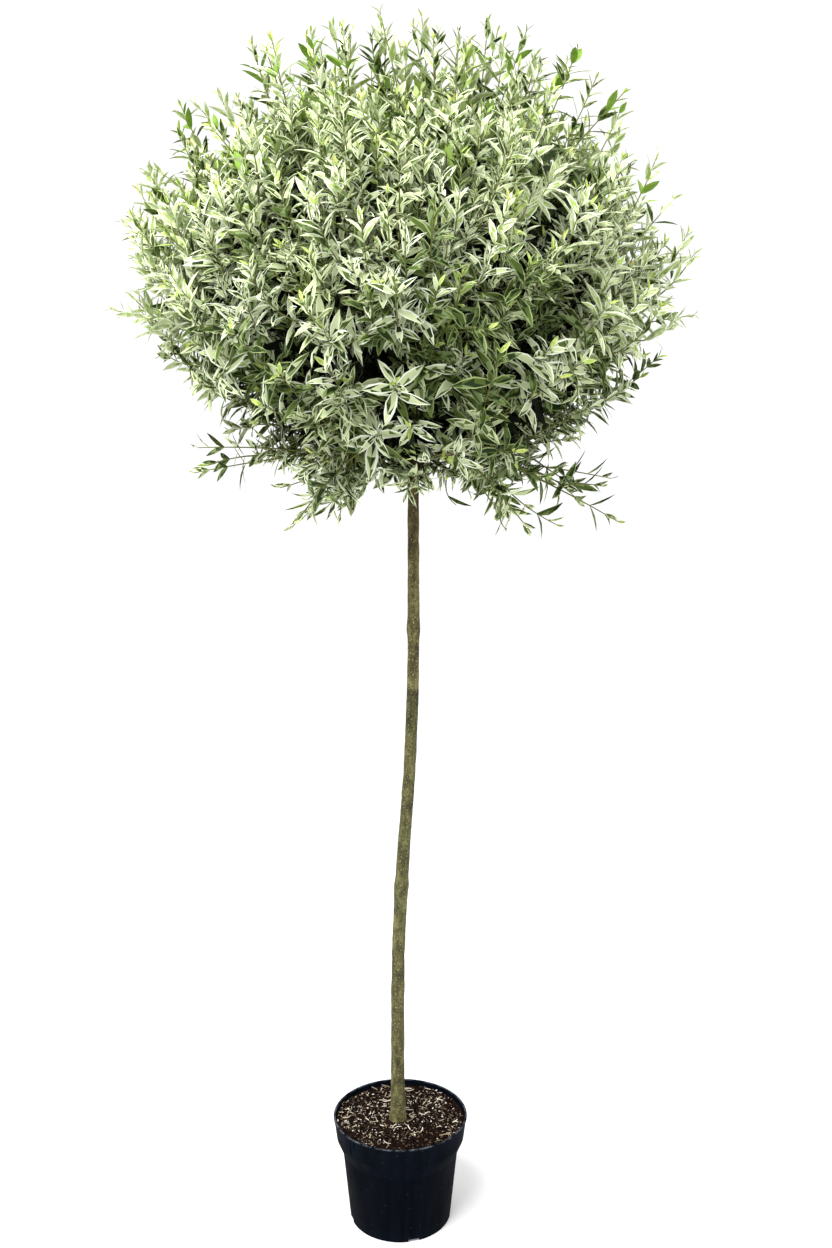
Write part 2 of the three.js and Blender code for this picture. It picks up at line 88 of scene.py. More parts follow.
# The layers of the mix's relief are a share, a fineness, a level of the noise and a number of octaves.
SOIL = Values(
    top=SOIL_BOX[1].z + 0.0025, fall_to_wall=-0.001, pad_radius=0.042, gap=0.0006, foot_gap=0.0003,
    edge_drop=0.003, edge_clear=0.003, trunk_clear=0.021, rings=62, sides=168, relief=0.0018,
    layers=[(0.55, 45, 1.7, 3), (0.45, 170, 4.1, 4)],
)
# Pale bits lie in drifts of about a size, thicker to the left and the back, where the drift is over a limit
# that has a fixed and a random part.
DRIFTS = Values(size=0.035, level=2.5, left=1.4, back=2.2, least=0.34, limit=(0.4, 1.2))
CRUMBS = Values(
    name="crumb", count=5600, sizes=(0.0014, 0.0052), drifts=False, finish=(0.9, 0.02),
    colours=[(14, 9, 8), (26, 17, 14), (44, 30, 24), (9, 6, 5), (18, 12, 10), (32, 22, 17), (96, 78, 62)],
)
GRIT = Values(
    name="grit", count=800, sizes=(0.0010, 0.0042), drifts=True, finish=(0.8, 0.2),
    colours=[(226, 220, 206), (186, 172, 146), (246, 244, 238), (148, 132, 106)],
)
FIBRES = Values(
    name="fibre", count=190, sizes=(0.005, 0.024), drifts=True, finish=(0.75, 0.25),
    colours=[(206, 194, 166), (236, 228, 208), (158, 142, 116), (98, 82, 64)],
)
# Most bits are small: the higher this power, the more of them.
SMALL_SHARE = 2.2
LUMP = Values(uneven=(0.6, 1.25), longer=(1.0, 1.7), flat=0.7, tilt=0.35, rise=0.25)
STRIP = Values(tilt=0.12, bend=0.28, arch=0.0012, rise=0.0011, radius=(0.0004, 0.0012), ends=0.3, sides=4)

# How a rough surface's octaves shrink and how much finer each is. The layers of relief on bark are a
# fineness, a stretch along +Z and a depth.
FRACTAL = (0.8, 2.0)
OCTAVES = 4
TRUNK_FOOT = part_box("trunk")[0].z
TRUNK = Values(
    top=1.590, foot_radius=0.0144, top_radius=0.0106, flare=0.0044, flare_height=0.030, ease_from=0.400,
    ease_to=1.290, left=-0.005, right=0.028, wave=0.004, wave_length=0.760, sides=48, ring_step=0.0030,
    relief=[(60, 5, 0.0007), (260, 6, 0.00045), (38, 1.5, 0.0006)],
)
KNOTS = [Values(height=0.722, spread=0.017, bulge=0.0019), Values(height=1.250, spread=0.017, bulge=0.0020)]
KNOB = Values(radius=0.026, height=0.031)

# The crown's reach, its underside's arch and its masses in three tiers, as the solids have them.
CROWN = Values(radius=0.532, half_height=0.448, square_above=2.2, square_below=1.7, farthest=1.2, step=0.005)
CROWN_MIDDLE = np.array([0.017, 0.0, 1.930])
ARCH = Values(half_width=0.058, top=1.600, steepness=1.6, lowest=1.448)
TIERS = [("lower", 6, 0, 3), ("middle", 6, 28, 35), ("top", 4, 205, 66)]
BOUGH = Values(reach=0.084, base_radius=0.0062, tip_radius=0.0046)
STEM = Values(
    tip_at=0.62, tip_radius=0.0022, sides=10, rings=46, sway=0.004, sways=3, sway_from=40,
    relief=[(90, 2, 0.0007), (300, 2, 0.0004)],
)

# Branches run from a mass's stem to the solids' own targets, and finer shoots fan out from each branch.
BRANCHES = Values(seed=3, count=122, least_reach=0.86, starts=(0.33, 0.6), bend_at=0.3)
BRANCH_LEAD = Values(along_stem=0.3, rise=0.16)
STRAYS = [
    (280, 2.395, 0.150), (322, 2.318, 0.262), (195, 2.362, 0.190), (178, 2.035, 0.545),
    (187, 1.862, 0.556), (3, 1.862, 0.556), (345, 1.470, 0.408), (190, 1.560, 0.410),
    (225, 1.466, 0.290), (318, 1.455, 0.300), (138, 1.462, 0.300), (42, 1.470, 0.310),
    (70, 1.600, 0.440), (112, 1.590, 0.430),
]
# Shoots waver, bend until this far back from their tips, and start on their own mass's branches, as all
# others count as this much further away.
SHOOTS = Values(waver=0.12, lead=0.55, elsewhere=1)
# The radii of twigs at their feet and tips, and their sides.
TWIGS = Values(
    branch=(0.0028, 0.0009, 6), outer=(0.0020, 0.0008, 4), inner=(0.0015, 0.0007, 3),
    sprig=(0.0014, 0.0007, 5),
)
# How many shoots there are, how far out they end, and where along their branches they start. Low in the
# crown only a share of the outer ones is kept. The inner ones fill the crown's middle.
OUTER = Values(count=1300, loose_share=0.28, starts=(0.12, 0.72), kept_low=0.52)
# These shares of the outer ones end in the crown's outline, low and high in it, and the rest behind it.
ROWS = Values(front_share=(0.45, 0.75), front=(0.945, 1), back=(0.74, 0.90))
INNER = Values(count=760, reach=(0.40, 0.80), starts=(0.05, 0.6), leafy=0.24)
# The crown is dense out to a share of its reach, and open from there on. The dense part is lumpy, and it is
# drawn in at the right and at its waist.
DENSE = Values(side=0.93, top=0.745, opens=(1.98, 2.33), lumps=0.10, lump_size=0.16, right=0.055)
WAIST = Values(height=1.690, spread=0.065, share=0.03)
# The finer shoots hang a little below the arch of the underside, but not near the trunk.
SKIRT = Values(drop=0.035, beside=(0.06, 0.19))
# More shoots round each stray branch that ends below a height make a hanging lobe of it.
LOBES = Values(below=1.58, shoots=11, inward=0.66, spread=0.036, lift=0.030)
# The crown is thinned by a share low at its sides.
THIN = Values(share=0.75, heights=(1.60, 1.72), beside=(0.10, 0.22))
# Single sprays that stand up out of the crown: bearing, height, and distance from its middle.
SPIRES = [
    (320, 2.345, 0.185), (332, 2.290, 0.257), (218, 2.306, 0.193), (253, 2.322, 0.126),
    (197, 2.230, 0.349), (205, 2.254, 0.280), (353, 2.135, 0.406),
]
# No shoot ends above this height, as its leaves reach past it.
SHOOT_TOP = 2.345
# How far leaves may end beyond the crown's reach or their shoot, below its underside and past the solids'
# box, and how near to the trunk's middle.
TRIM = Values(beyond=0.03, below=0.02, past_box=0.022, from_trunk=0.024)
# Shoots end level or drooping low in the crown and upright high in it.
UPTURN = Values(ends=(-0.25, 2.0), heights=(1.52, 2.06))
PATH_POINTS = 9
# Short shoots from the top of the trunk, which hide the graft. Those in front hang the most.
SPRIGS = Values(
    count=12, first_bearing=225, heights=(1.565, 1.610), lengths=(0.055, 0.100), rise=-18, front=4,
    front_rise=-52, turned=9, arch=0.02, leafy=0.075,
)

# How a shoot bears its leaves in a rosette, as low in the crown, and along a loose spray, as high in it:
# how much of it is leafy, the gaps between pairs and how far back they grow, how far back leaves are
# full-sized, their size and lean, how far back that grows, and how far their upper sides turn out and up.
HABIT = {
    "leafy": (0.105, 0.25),
    "gap_at_tip": (0.0062, 0.0125),
    "gap": (0.017, 0.0185),
    "crowded": (0.045, 0.055),
    "small_to": (0.015, 0.045),
    "length": (0.0565, 0.0455),
    "width": (0.0178, 0.0132),
    "lean_tip": (40, 24),
    "lean_foot": (80, 52),
    "lean_to": (0.026, 0.085),
    "outward": (0.95, 0.5),
    "upward": (0.1, 0.3),
}
HABIT_HEIGHTS = (1.66, 1.98)
# How much looseness varies, and how much more there is beyond the crown's reach and low at its sides.
LOOSE = Values(varies=0.2, beyond=0.8, aside=0.7)
# How far back a shoot's first pair stands, and the fixed and random parts of the gap after a pair.
PAIRS = Values(first=0.002, fixed=0.85, random=0.3)
# No more than this share of a shoot is in leaf.
MOST_LEAFY = 0.9
# The size of leaves at a shoot's tip and far back from it, and how far that is.
SIZES = Values(tip=0.34, back=0.85, far=0.25)
# How much leaves vary, and how far they are folded along the rib and bent back.
VARIES = Values(turn=0.2, lean=0.13, upper=0.22, size=0.11, width=0.1, middle=0.35)
FOLD = (0.1, 0.55)
BOW = (0.18, 0.11)
# Shoots that hang out low bear larger leaves, further apart, by these factors.
HANGING = {"leafy": 1.25, "gap_at_tip": 1.5, "gap": 1.75, "length": 1.22, "width": 1.2, "lean_foot": 1.15}
# How likely sprays of each kind are, low and high in the crown.
LIKELY = {"pale": (0.50, 0.26), "cream": (0.34, 0.34), "green": (0.10, 0.06)}
LIKELY_HEIGHTS = (1.55, 2.30)
# More of them are green round a height and where they hang out on the right, and lemon high up.
GREEN_BELT = Values(height=1.86, spread=0.10, weight=0.2, hanging=1.2)
LEMON = Values(weight=0.30, heights=(1.85, 2.25))
# More of them are paler, a painted light, high up, outermost in the crown and at its sides.
PAINTED_LIGHT = Values(high=0.9, outer=0.8, outer_level=0.92, heights=(1.72, 2.08))
PAINTED_LIGHT_SIDES = Values(weight=2.4, aside=(0.30, 0.46), heights=(1.62, 1.80))
# Plain green young leaves stand only at the outermost tips, high in the crown.
FRESH = Values(heights=(2.02, 2.18), level=0.94, share=0.28, back=0.07, wider=1.18)
# These shares of the shoots are lime, or else pinkish, at their very tips.
YOUNG = Values(lime=0.65, blush=0.06)
# Leaves are darker behind a rosette, and on shoots that end inside the crown: painted shade.
SHADED = Values(back=0.036, behind=(0.30, 0.10), inside_level=0.86, inside_low=0.7)

# Plain colours, as they look in daylight: red, green and blue from 0 to 255.
COLOURS = {
    "white": (233, 238, 219), "cream": (216, 224, 178), "lemon": (202, 214, 142), "sage": (160, 176, 116),
    # The first colour on the next line is the pale edge darkened, for leaves in painted shade.
    "shaded_edge": (124, 138, 84), "mottle": (192, 203, 158), "grey_green": (118, 136, 90), "green": (80, 98, 43),
    "deep_green": (38, 52, 24), "bright_green": (148, 176, 84), "fresh_green": (122, 154, 60),
    "fresh_shade": (108, 140, 54), "yellow_tip": (190, 204, 106), "pink_tip": (214, 184, 126),
    "shade": (32, 42, 18), "dark_shade": (17, 23, 10),
}
COLOUR_NAMES = list(COLOURS)
# What the plastic's colour is multiplied by up the pot, in shares of its height.
# The slanted shoulder is darker and bluer than the rest of the pot: painted shade.
SHOULDER_SHADE = (170, 190, 216)
POT_TONES_AND_SHADE = [
    (0.0, 255), (0.14, 206), (0.64, 200), (0.68, SHOULDER_SHADE), (0.79, SHOULDER_SHADE), (0.81, 226), (1.0, 255),
]
# The same for the bark: pale at the flare, then a dark scar, a lighter stretch, and browner under the head.
BARK_TONES = [
    (0.0, (255, 250, 226)), (0.035, (214, 214, 190)), (0.30, (206, 208, 178)), (0.655, (196, 198, 166)),
    (0.662, (96, 84, 62)), (0.669, (246, 240, 214)), (0.78, (226, 220, 190)), (0.90, (206, 190, 156)),
    (1.0, (186, 160, 122)),
]
# A spray's leaves: the width and the colour of their edge, and five colours of their mottled middle.
SPRAYS = {
    "pale": (0.23, "white", "mottle green mottle mottle deep_green"),
    "cream": (0.21, "cream", "mottle grey_green green mottle deep_green"),
    "green": (0.17, "sage", "deep_green green deep_green grey_green green"),
    "lemon": (0.24, "lemon", "bright_green mottle sage bright_green green"),
    # The next spray is leaves in painted shade, with a darkened edge and middle.
    "shaded": (0.17, "shaded_edge", "deep_green green deep_green green grey_green"),
    # The next spray's pale leaves are painted light, high up and at the crown's outside.
    "painted_light": (0.28, "white", "cream mottle bright_green mottle sage"),
    "fresh": (0.20, "fresh_green", "fresh_green fresh_shade fresh_green fresh_green fresh_shade"),
    "tip": (0.24, "lemon", "yellow_tip bright_green yellow_tip bright_green bright_green"),
    "blush": (0.24, "lemon", "yellow_tip pink_tip bright_green yellow_tip pink_tip"),
}
SPRAY_NAMES = list(SPRAYS)
# Leaves deep in the crown are of one colour each, a painted shade: darkest low in the crown and palest high
# in it.
DEEP_SHADE_COLOURS = "dark_shade dark_shade shade dark_shade deep_green shade green grey_green bright_green sage"
DEEP_SHADE_HEIGHTS = (1.82, 2.16)
DEEP_VARIES = 0.16
# The roughness and shine of leaves, and the colour, roughness and shine of young shoots.
LEAF_FINISH = (0.6, 0.12)
YOUNG_BARK = ((104, 108, 56), 0.6, 0.1)

STUDIO = Values(
    floor=60.0, paper=251, surround=1.07, lamp_place=(-1.3, -2.0, 4.6), lamp_aim=(0, 0, 1.9), lamp_size=2.6,
    lamp_watts=250,
)

rng = np.random.default_rng(SEED)


def seeded(seed):
    """The solids' own numbers from 0 to 1, in the same order."""
    state = seed

    def draw():
        nonlocal state
        state = (state * 1664525 + 1013904223) % 2**32
        return state / 2**32

    return draw


def unit(vectors):
    return vectors / np.maximum(np.linalg.norm(vectors, axis=-1, keepdims=True), 1e-9)


def lerp(low, high, share):
    return low + (high - low) * share


def smoothstep(x, low, high):
    t = np.clip((x - low) / (high - low), 0, 1)
    return t * t * (3 - 2 * t)


def smootherstep(x, low, high):
    t = np.clip((x - low) / (high - low), 0, 1)
    return t * t * t * (t * (6 * t - 15) + 10)


def hump(heights, place):
    """1 at a place's height, and less and less away from it."""
    return np.exp(-(((heights - place.height) / place.spread) ** 2))


def heading(bearing, rise):
    """A unit vector from a bearing round +Z and a rise, in degrees."""
    turn, lift = math.radians(bearing), math.radians(rise)
    return np.array([math.cos(turn) * math.cos(lift), math.sin(turn) * math.cos(lift), math.sin(lift)])


# Materials


def linear(colour):
    """A daylight colour, or one number for a grey, as the linear values of a shader."""
    shares = [c / 255 for c in (colour if isinstance(colour, tuple) else [colour] * 3)]
    return [s / 12.92 if s <= 0.04045 else ((s + 0.055) / 1.055) ** 2.4 for s in shares] + [1.0]


class Finish:
    """A material in the making, and the inputs of its shader."""

    def __init__(self, name, roughness, specular):
        self.material = bpy.data.materials.new(name)
        self.material.use_nodes = True
        self.tree = self.material.node_tree
        self.shader = self.tree.nodes["Principled BSDF"].inputs
        self.shader["Roughness"].default_value = roughness
        self.shader["Specular IOR Level"].default_value = specular

    def link(self, output, target):
        self.tree.links.new(output, target)

    def node(self, kind, output, **values):
        """The output of a new node with its settings set, and its sockets filled in or linked."""
        node = self.tree.nodes.new(kind)
        for key, value in values.items():
            if key not in node.inputs:
                setattr(node, key, value)
            elif isinstance(value, bpy.types.NodeSocket):
                self.link(value, node.inputs[key])
            else:
                node.inputs[key].default_value = value
        return node.outputs[output]

    def pattern(self, kind, output, stretch=1, **values):
        """A node's output in the object's space, drawn out along +Z by a stretch below 1."""
        place = self.node("ShaderNodeTexCoord", "Object")
        place = self.node("ShaderNodeMapping", "Vector", Vector=place, Scale=(1, 1, stretch))
        return self.node(kind, output, Vector=place, **values)

    def noise(self, scale, stretch=1, detail=4.0, roughness=0.6):
        values = {"Scale": scale, "Detail": detail, "Roughness": roughness}
        return self.pattern("ShaderNodeTexNoise", "Fac", stretch, **values)

    def share(self, value, low, high):
        """0 at one value, 1 at another and even between."""
        return self.node("ShaderNodeMapRange", "Result", Value=value, **{"From Min": low, "From Max": high})

    def spots(self, scale, low, high, stretch=1):
        """1 in small round spots and 0 between them."""
        return self.share(self.pattern("ShaderNodeTexVoronoi", "Distance", stretch, Scale=scale), high, low)

    def height_share(self, low, high):
        """0 up to one height and 1 from another."""
        return self.share(self.pattern("ShaderNodeSeparateXYZ", "Z"), low, high)

    def ramp(self, factor, stops):
        """A colour for each value of a factor, from stops of a value and a colour."""
        node = self.tree.nodes.new("ShaderNodeValToRGB")
        elements = node.color_ramp.elements
        while len(elements) < len(stops):
            elements.new(0.5)
        for element, (place, colour) in zip(elements, stops):
            element.position = place
            element.color = linear(colour)
        self.link(factor, node.inputs["Fac"])
        return node.outputs["Color"]

    def blend(self, base, colour, factor=1.0, **settings):
        """A colour with another one laid over it by a factor."""
        values = {"data_type": "RGBA", **settings, "Factor": factor, "A": base, "B": colour}
        return self.node("ShaderNodeMix", "Result", **values)

    def mix(self, factor, base, colour):
        return self.blend(base, linear(colour), factor)

    def multiply(self, first, second):
        return self.blend(first, second, blend_type="MULTIPLY")

    def bump(self, height, distance, strength=0.6):
        normal = self.node("ShaderNodeBump", "Normal", Strength=strength, Distance=distance, Height=height)
        self.link(normal, self.shader["Normal"])


def plain_material(name, colour, roughness, specular):
    finish = Finish(name, roughness, specular)
    finish.shader["Base Color"].default_value = linear(colour)
    return finish.material


def bark_material():
    """Olive bark, mottled with grey and brown, with pale and dark specks."""
    bark = Finish("bark", roughness=0.75, specular=0.3)
    broad = bark.noise(62, stretch=0.4, detail=8.0, roughness=0.75)
    base = bark.ramp(broad, [(0.36, (50, 46, 28)), (0.5, (94, 91, 60)), (0.64, (140, 137, 100))])
    grey = bark.ramp(bark.noise(9, stretch=0.6, detail=3.0), [(0.5, 0), (0.68, 130)])
    base = bark.mix(grey, base, (118, 114, 96))
    base = bark.mix(bark.spots(210, 0.12, 0.30, stretch=0.7), base, (166, 161, 126))
    base = bark.mix(bark.spots(150, 0.14, 0.31, stretch=1.4), base, (34, 29, 19))
    tone = bark.ramp(bark.height_share(TRUNK_FOOT, TRUNK.top), BARK_TONES)
    bark.link(bark.multiply(base, tone), bark.shader["Base Color"])
    bark.bump(bark.noise(420, stretch=0.2, detail=6.0), 0.0006, strength=0.8)
    return bark.material


def shoot_bark_material():
    """The bark of boughs and stems, browner than the trunk's."""
    bark = Finish("shoot_bark", roughness=0.7, specular=0.3)
    base = bark.ramp(bark.noise(60), [(0.3, (70, 66, 38)), (0.7, (116, 108, 62))])
    bark.link(base, bark.shader["Base Color"])
    bark.bump(bark.noise(500), 0.0004)
    return bark.material


def plastic_material():
    """Black plastic with dust near the rim, partly a painted highlight, faint upright streaks and pale
    specks.
    """
    plastic = Finish("pot_plastic", roughness=0.42, specular=0.02)
    streaks = plastic.noise(55, stretch=0.06, detail=3.0)
    base = plastic.ramp(streaks, [(0.35, (3, 7, 14)), (0.65, (8, 14, 24))])
    # Pale patches along the top of the rim: partly dust, partly a painted highlight.
    dust_and_highlight = plastic.ramp(plastic.noise(70), [(0.4, 0), (0.66, 255)])
    rim_dust_and_highlight = plastic.tree.nodes.new("ShaderNodeMath")
    rim_dust_and_highlight.operation = "MULTIPLY"
    plastic.link(plastic.height_share(POT.height - 0.0022, POT.height + 0.0004), rim_dust_and_highlight.inputs[0])
    plastic.link(dust_and_highlight, rim_dust_and_highlight.inputs[1])
    base = plastic.mix(rim_dust_and_highlight.outputs["Value"], base, (96, 102, 110))
    base = plastic.mix(plastic.spots(95, 0.025, 0.05), base, (128, 134, 138))
    # These tones paint shade on the slanted shoulder.
    tone = plastic.ramp(plastic.height_share(0, POT.height), POT_TONES_AND_SHADE)
    plastic.link(plastic.multiply(base, tone), plastic.shader["Base Color"])
    dull = plastic.ramp(plastic.noise(40, stretch=0.3), [(0.3, 206), (0.7, 234)])
    plastic.link(dull, plastic.shader["Roughness"])
    plastic.bump(plastic.noise(260), 0.0003, strength=0.35)
    return plastic.material


def peat_material():
    """Nearly black crumbs among brown ones, with some moss."""
    peat = Finish("peat", roughness=0.9, specular=0.02)
    crumbs = peat.noise(210, detail=8.0)
    base = peat.ramp(crumbs, [(0.3, (8, 5, 4)), (0.5, (20, 13, 11)), (0.72, (46, 32, 25))])
    shaded_edge = peat.ramp(peat.noise(14, detail=3.0), [(0.58, 0), (0.7, 130)])
    peat.link(peat.mix(shaded_edge, base, (74, 74, 34)), peat.shader["Base Color"])
    peat.bump(crumbs, 0.002, strength=0.9)
    return peat.material


# Meshes


def in_scene(name, data):
    """A new object in the scene, of a mesh, a lamp or a camera."""
    made = bpy.data.objects.new(name, data)
    bpy.context.scene.collection.objects.link(made)
    return made


def make_mesh(name, vertices, faces, materials, face_material=None, smooth=True):
    """A mesh object from an array of vertices and a list of arrays of faces."""
    mesh = bpy.data.meshes.new(name)
    vertices = np.asarray(vertices, np.float32).reshape(-1, 3)
    mesh.vertices.add(len(vertices))
    mesh.vertices.foreach_set("co", vertices.ravel())
    corners = np.concatenate([np.full(len(f), f.shape[1]) for f in faces])
    mesh.loops.add(int(corners.sum()))
    mesh.loops.foreach_set("vertex_index", np.concatenate([f.ravel() for f in faces]).astype(np.int32))
    mesh.polygons.add(len(corners))
    mesh.polygons.foreach_set("loop_start", (np.cumsum(corners) - corners).astype(np.int32))
    for material in materials:
        mesh.materials.append(material)
    if face_material is not None:
        mesh.polygons.foreach_set("material_index", np.asarray(face_material, np.int32))
    mesh.polygons.foreach_set("use_smooth", np.full(len(corners), smooth))
    mesh.update(calc_edges=True)
    mesh.validate()
    return in_scene(name, mesh)


def keep(piece, slot, *nodes):
    """Puts a piece on the plant and hides the nodes that it stands for; its finish is not used."""
    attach(piece, BODY)
    if nodes:
        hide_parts(*nodes)
    return piece


def frames_along(paths):
    """Tangents and two square directions at each point of each path."""
    tangents = unit(np.gradient(paths, axis=1))
    chord = unit(paths[:, -1] - paths[:, 0])
    upright = np.abs(chord[:, 2]) > STEEP
    guide = np.where(upright[:, None], [1.0, 0.0, 0.0], [0.0, 0.0, 1.0])[:, None, :]
    across = unit(np.cross(tangents, guide))
    return tangents, across, np.cross(tangents, across)


def ring_faces(count, rings, sides, other_way=False):
    """Quads between the rings of closed bodies, and a fan at both ends of each."""
    base = (np.arange(count) * rings * sides)[:, None, None]
    ring = base + (np.arange(rings - 1) * sides)[None, :, None]
    side = np.arange(sides)
    after = (side + 1) % sides
    corners = [ring + side, ring + sides + side, ring + sides + after, ring + after]
    quads = np.stack(corners, -1).reshape(-1, 4)
    fan = np.array([[0, i, i + 1] for i in range(1, sides - 1)])
    if other_way:
        quads, fan = quads[:, [0, 3, 2, 1]], fan[:, [0, 2, 1]]
    ends = [base + fan, base + (rings - 1) * sides + fan[:, ::-1]]
    return [quads] + [end.reshape(-1, 3) for end in ends]


def tubes(paths, radii, sides):
    """Vertices and faces of round tubes along paths."""
    _, across, over = frames_along(paths)
    turn = np.arange(sides) * 2 * math.pi / sides
    rim = across[:, :, None] * np.cos(turn)[:, None] + over[:, :, None] * np.sin(turn)[:, None]
    vertices = paths[:, :, None] + rim * radii[:, :, None, None]
    return vertices.reshape(-1, 3), ring_faces(*paths.shape[:2], sides)


def relief(point, scale, stretch, depth):
    """The height of a rough surface at a point."""
    place = Vector((point[0] * scale, point[1] * scale, point[2] * scale / stretch))
    return depth * noise.fractal(place, *FRACTAL, OCTAVES)


def roughen(vertices, middles, layers):
    """Moves vertices out from the middles of their rings by layers of relief."""
    out = unit(vertices - middles)
    heights = np.array([sum(relief(v, *layer) for layer in layers) for v in vertices])
    return vertices + out * heights[:, None]


# The trunk


def trunk_middle(heights):
    heights = np.asarray(heights, float)
    x = lerp(TRUNK.left, TRUNK.right, smootherstep(heights, TRUNK.ease_from, TRUNK.ease_to))
    y = TRUNK.wave * np.sin(2 * math.pi * (heights - TRUNK_FOOT) / TRUNK.wave_length)
    return np.stack([x, y * (1 - smoothstep(heights, TRUNK.ease_to, TRUNK.top)), heights], -1)


def trunk_radius(heights):
    rise = heights - TRUNK_FOOT
    radius = lerp(TRUNK.foot_radius, TRUNK.top_radius, np.minimum(rise / (TRUNK.top - TRUNK_FOOT), 1))
    radius = radius + TRUNK.flare * np.exp(-rise / TRUNK.flare_height)
    for knot in KNOTS:
        radius = radius + knot.bulge * hump(heights, knot)
    knob = KNOB.radius * np.sqrt(np.clip(1 - ((heights - TRUNK.top) / KNOB.height) ** 2, 0, 1))
    above = heights > TRUNK.top
    return np.where(above, np.maximum(knob, 1e-4), np.maximum(radius, knob))


HEAD = trunk_middle(TRUNK.top)


def trunk(material):
    """The trunk and its grafted knob, with shallow ridges."""
    top = TRUNK.top + KNOB.height
    heights = np.linspace(TRUNK_FOOT, top, int((top - TRUNK_FOOT) / TRUNK.ring_step))
    middles = trunk_middle(heights)[None]
    vertices, faces = tubes(middles, trunk_radius(heights)[None], TRUNK.sides)
    rings = np.repeat(middles[0], TRUNK.sides, axis=0)
    vertices = roughen(vertices, rings, TRUNK.relief)
    vertices[:, 2] = np.maximum(vertices[:, 2], TRUNK_FOOT)
    return keep(make_mesh("trunk_bark", vertices, faces, [material]), "bark", "trunk")


# The crown


def crown_level(places):
    """How far out places are: 1 on the crown's reach, and less inside it."""
    apart = places - CROWN_MIDDLE
    square = np.where(apart[..., 2] > 0, CROWN.square_above, CROWN.square_below)
    across = np.hypot(apart[..., 0], apart[..., 1]) / CROWN.radius
    upward = np.abs(apart[..., 2]) / CROWN.half_height
    return (across**square + upward**square) ** (1 / square)


def underside(places):
    """The lowest that foliage hangs beside the trunk."""
    beside = np.maximum(np.abs(places[..., 0] - HEAD[0]) - ARCH.half_width, 0)
    return np.maximum(ARCH.top - ARCH.steepness * beside, ARCH.lowest)


def place_masses():
    """The masses' names, their axes from the head, and how far the crown reaches along them."""
    names, axes, reaches = [], [], []
    for tier, count, first_bearing, rise in TIERS:
        for i in range(count):
            axis = heading(first_bearing + 360 * i / count, rise)
            steps = np.arange(BOUGH.reach, CROWN.farthest, CROWN.step)
            names.append(f"{tier}_{i + 1}")
            axes.append(axis)
            reaches.append(steps[np.argmax(crown_level(HEAD + steps[:, None] * axis) >= 1)])
    return names, np.array(axes), np.array(reaches)


MASSES, AXES, REACHES = place_masses()


def mass_of(places):
    """Which mass's space each place is in."""
    return np.argmax((places - HEAD) @ AXES.T, axis=1)


def spiral(count):
    """Points spread evenly over the crown's reach, cut level at its top."""
    index = np.arange(count)
    height = 1 - 2 * (index + 0.5) / count
    level = np.sqrt(1 - height**2)
    turn = GOLDEN_TURN * index
    rays = np.stack([level * np.cos(turn), level * np.sin(turn), height], 1)
    places = CROWN_MIDDLE + rays / crown_level(CROWN_MIDDLE + rays)[:, None]
    return np.minimum(places, [np.inf, np.inf, SHOOT_TOP])


def draw_in(places, shares):
    """Places brought in towards the crown's middle, without those below its underside."""
    drawn = lerp(CROWN_MIDDLE, places, shares[:, None])
    return drawn[drawn[:, 2] > underside(drawn)]


def set_out(places):
    """Points from a bearing, a height and a distance from the crown's middle."""
    middle = CROWN_MIDDLE * [1, 0, 0]
    return [
        middle + heading(bearing, 0) * out + UP * min(height, SHOOT_TOP)
        for bearing, height, out in places
    ]


def branch_targets():
    draw = seeded(BRANCHES.seed)
    shares = np.array([lerp(BRANCHES.least_reach, 1, draw()) for _ in range(BRANCHES.count)])
    return np.concatenate([set_out(STRAYS), draw_in(spiral(BRANCHES.count), shares)])


def bend(start, control, end, t):
    """The point at a share of the way along a curve drawn towards a control."""
    return (1 - t) ** 2 * start + 2 * t * (1 - t) * control + t**2 * end


def bend_path(start, control, end):
    """Smooth paths from starts to ends, drawn towards controls."""
    return bend(start[:, None], control[:, None], end[:, None], np.linspace(0, 1, PATH_POINTS)[None, :, None])


def grow_branches():
    """The branches' paths and masses."""
    targets = branch_targets()
    owner = mass_of(targets)
    axis, far = AXES[owner], REACHES[owner]
    share = lerp(*BRANCHES.starts, rng.random(len(targets)))
    start = HEAD + axis * (far * share)[:, None]
    chord = targets - start
    length = np.linalg.norm(chord, axis=1, keepdims=True)
    lead = unit(unit(chord) + axis * BRANCH_LEAD.along_stem + UP * BRANCH_LEAD.rise)
    bend = start + lead * length * BRANCHES.bend_at
    return bend_path(start, bend, targets), owner


def skirt(places):
    """How far below the underside shoots may hang."""
    return SKIRT.drop * smoothstep(np.abs(places[:, 0] - HEAD[0]), *SKIRT.beside)


def hang(places):
    """Lifts places that lie lower to just under the arch of the underside."""
    places[:, 2] = np.maximum(places[:, 2], underside(places) - skirt(places) * rng.random(len(places)))
    return places


def lobe_targets():
    """Where more shoots end, round each stray branch low in the crown."""
    low = [place for place in set_out(STRAYS) if place[2] < LOBES.below]
    places = np.repeat(low, LOBES.shoots, axis=0)
    places = lerp(places, HEAD, LOBES.inward * rng.random((len(places), 1)))
    return places + UP * LOBES.lift + rng.normal(0, LOBES.spread, places.shape)


def low_and_wide(places):
    """1 for places low at the crown's sides, and 0 elsewhere."""
    low = 1 - smoothstep(places[:, 2], *THIN.heights)
    return low * smoothstep(np.abs(places[:, 0] - HEAD[0]), *THIN.beside)


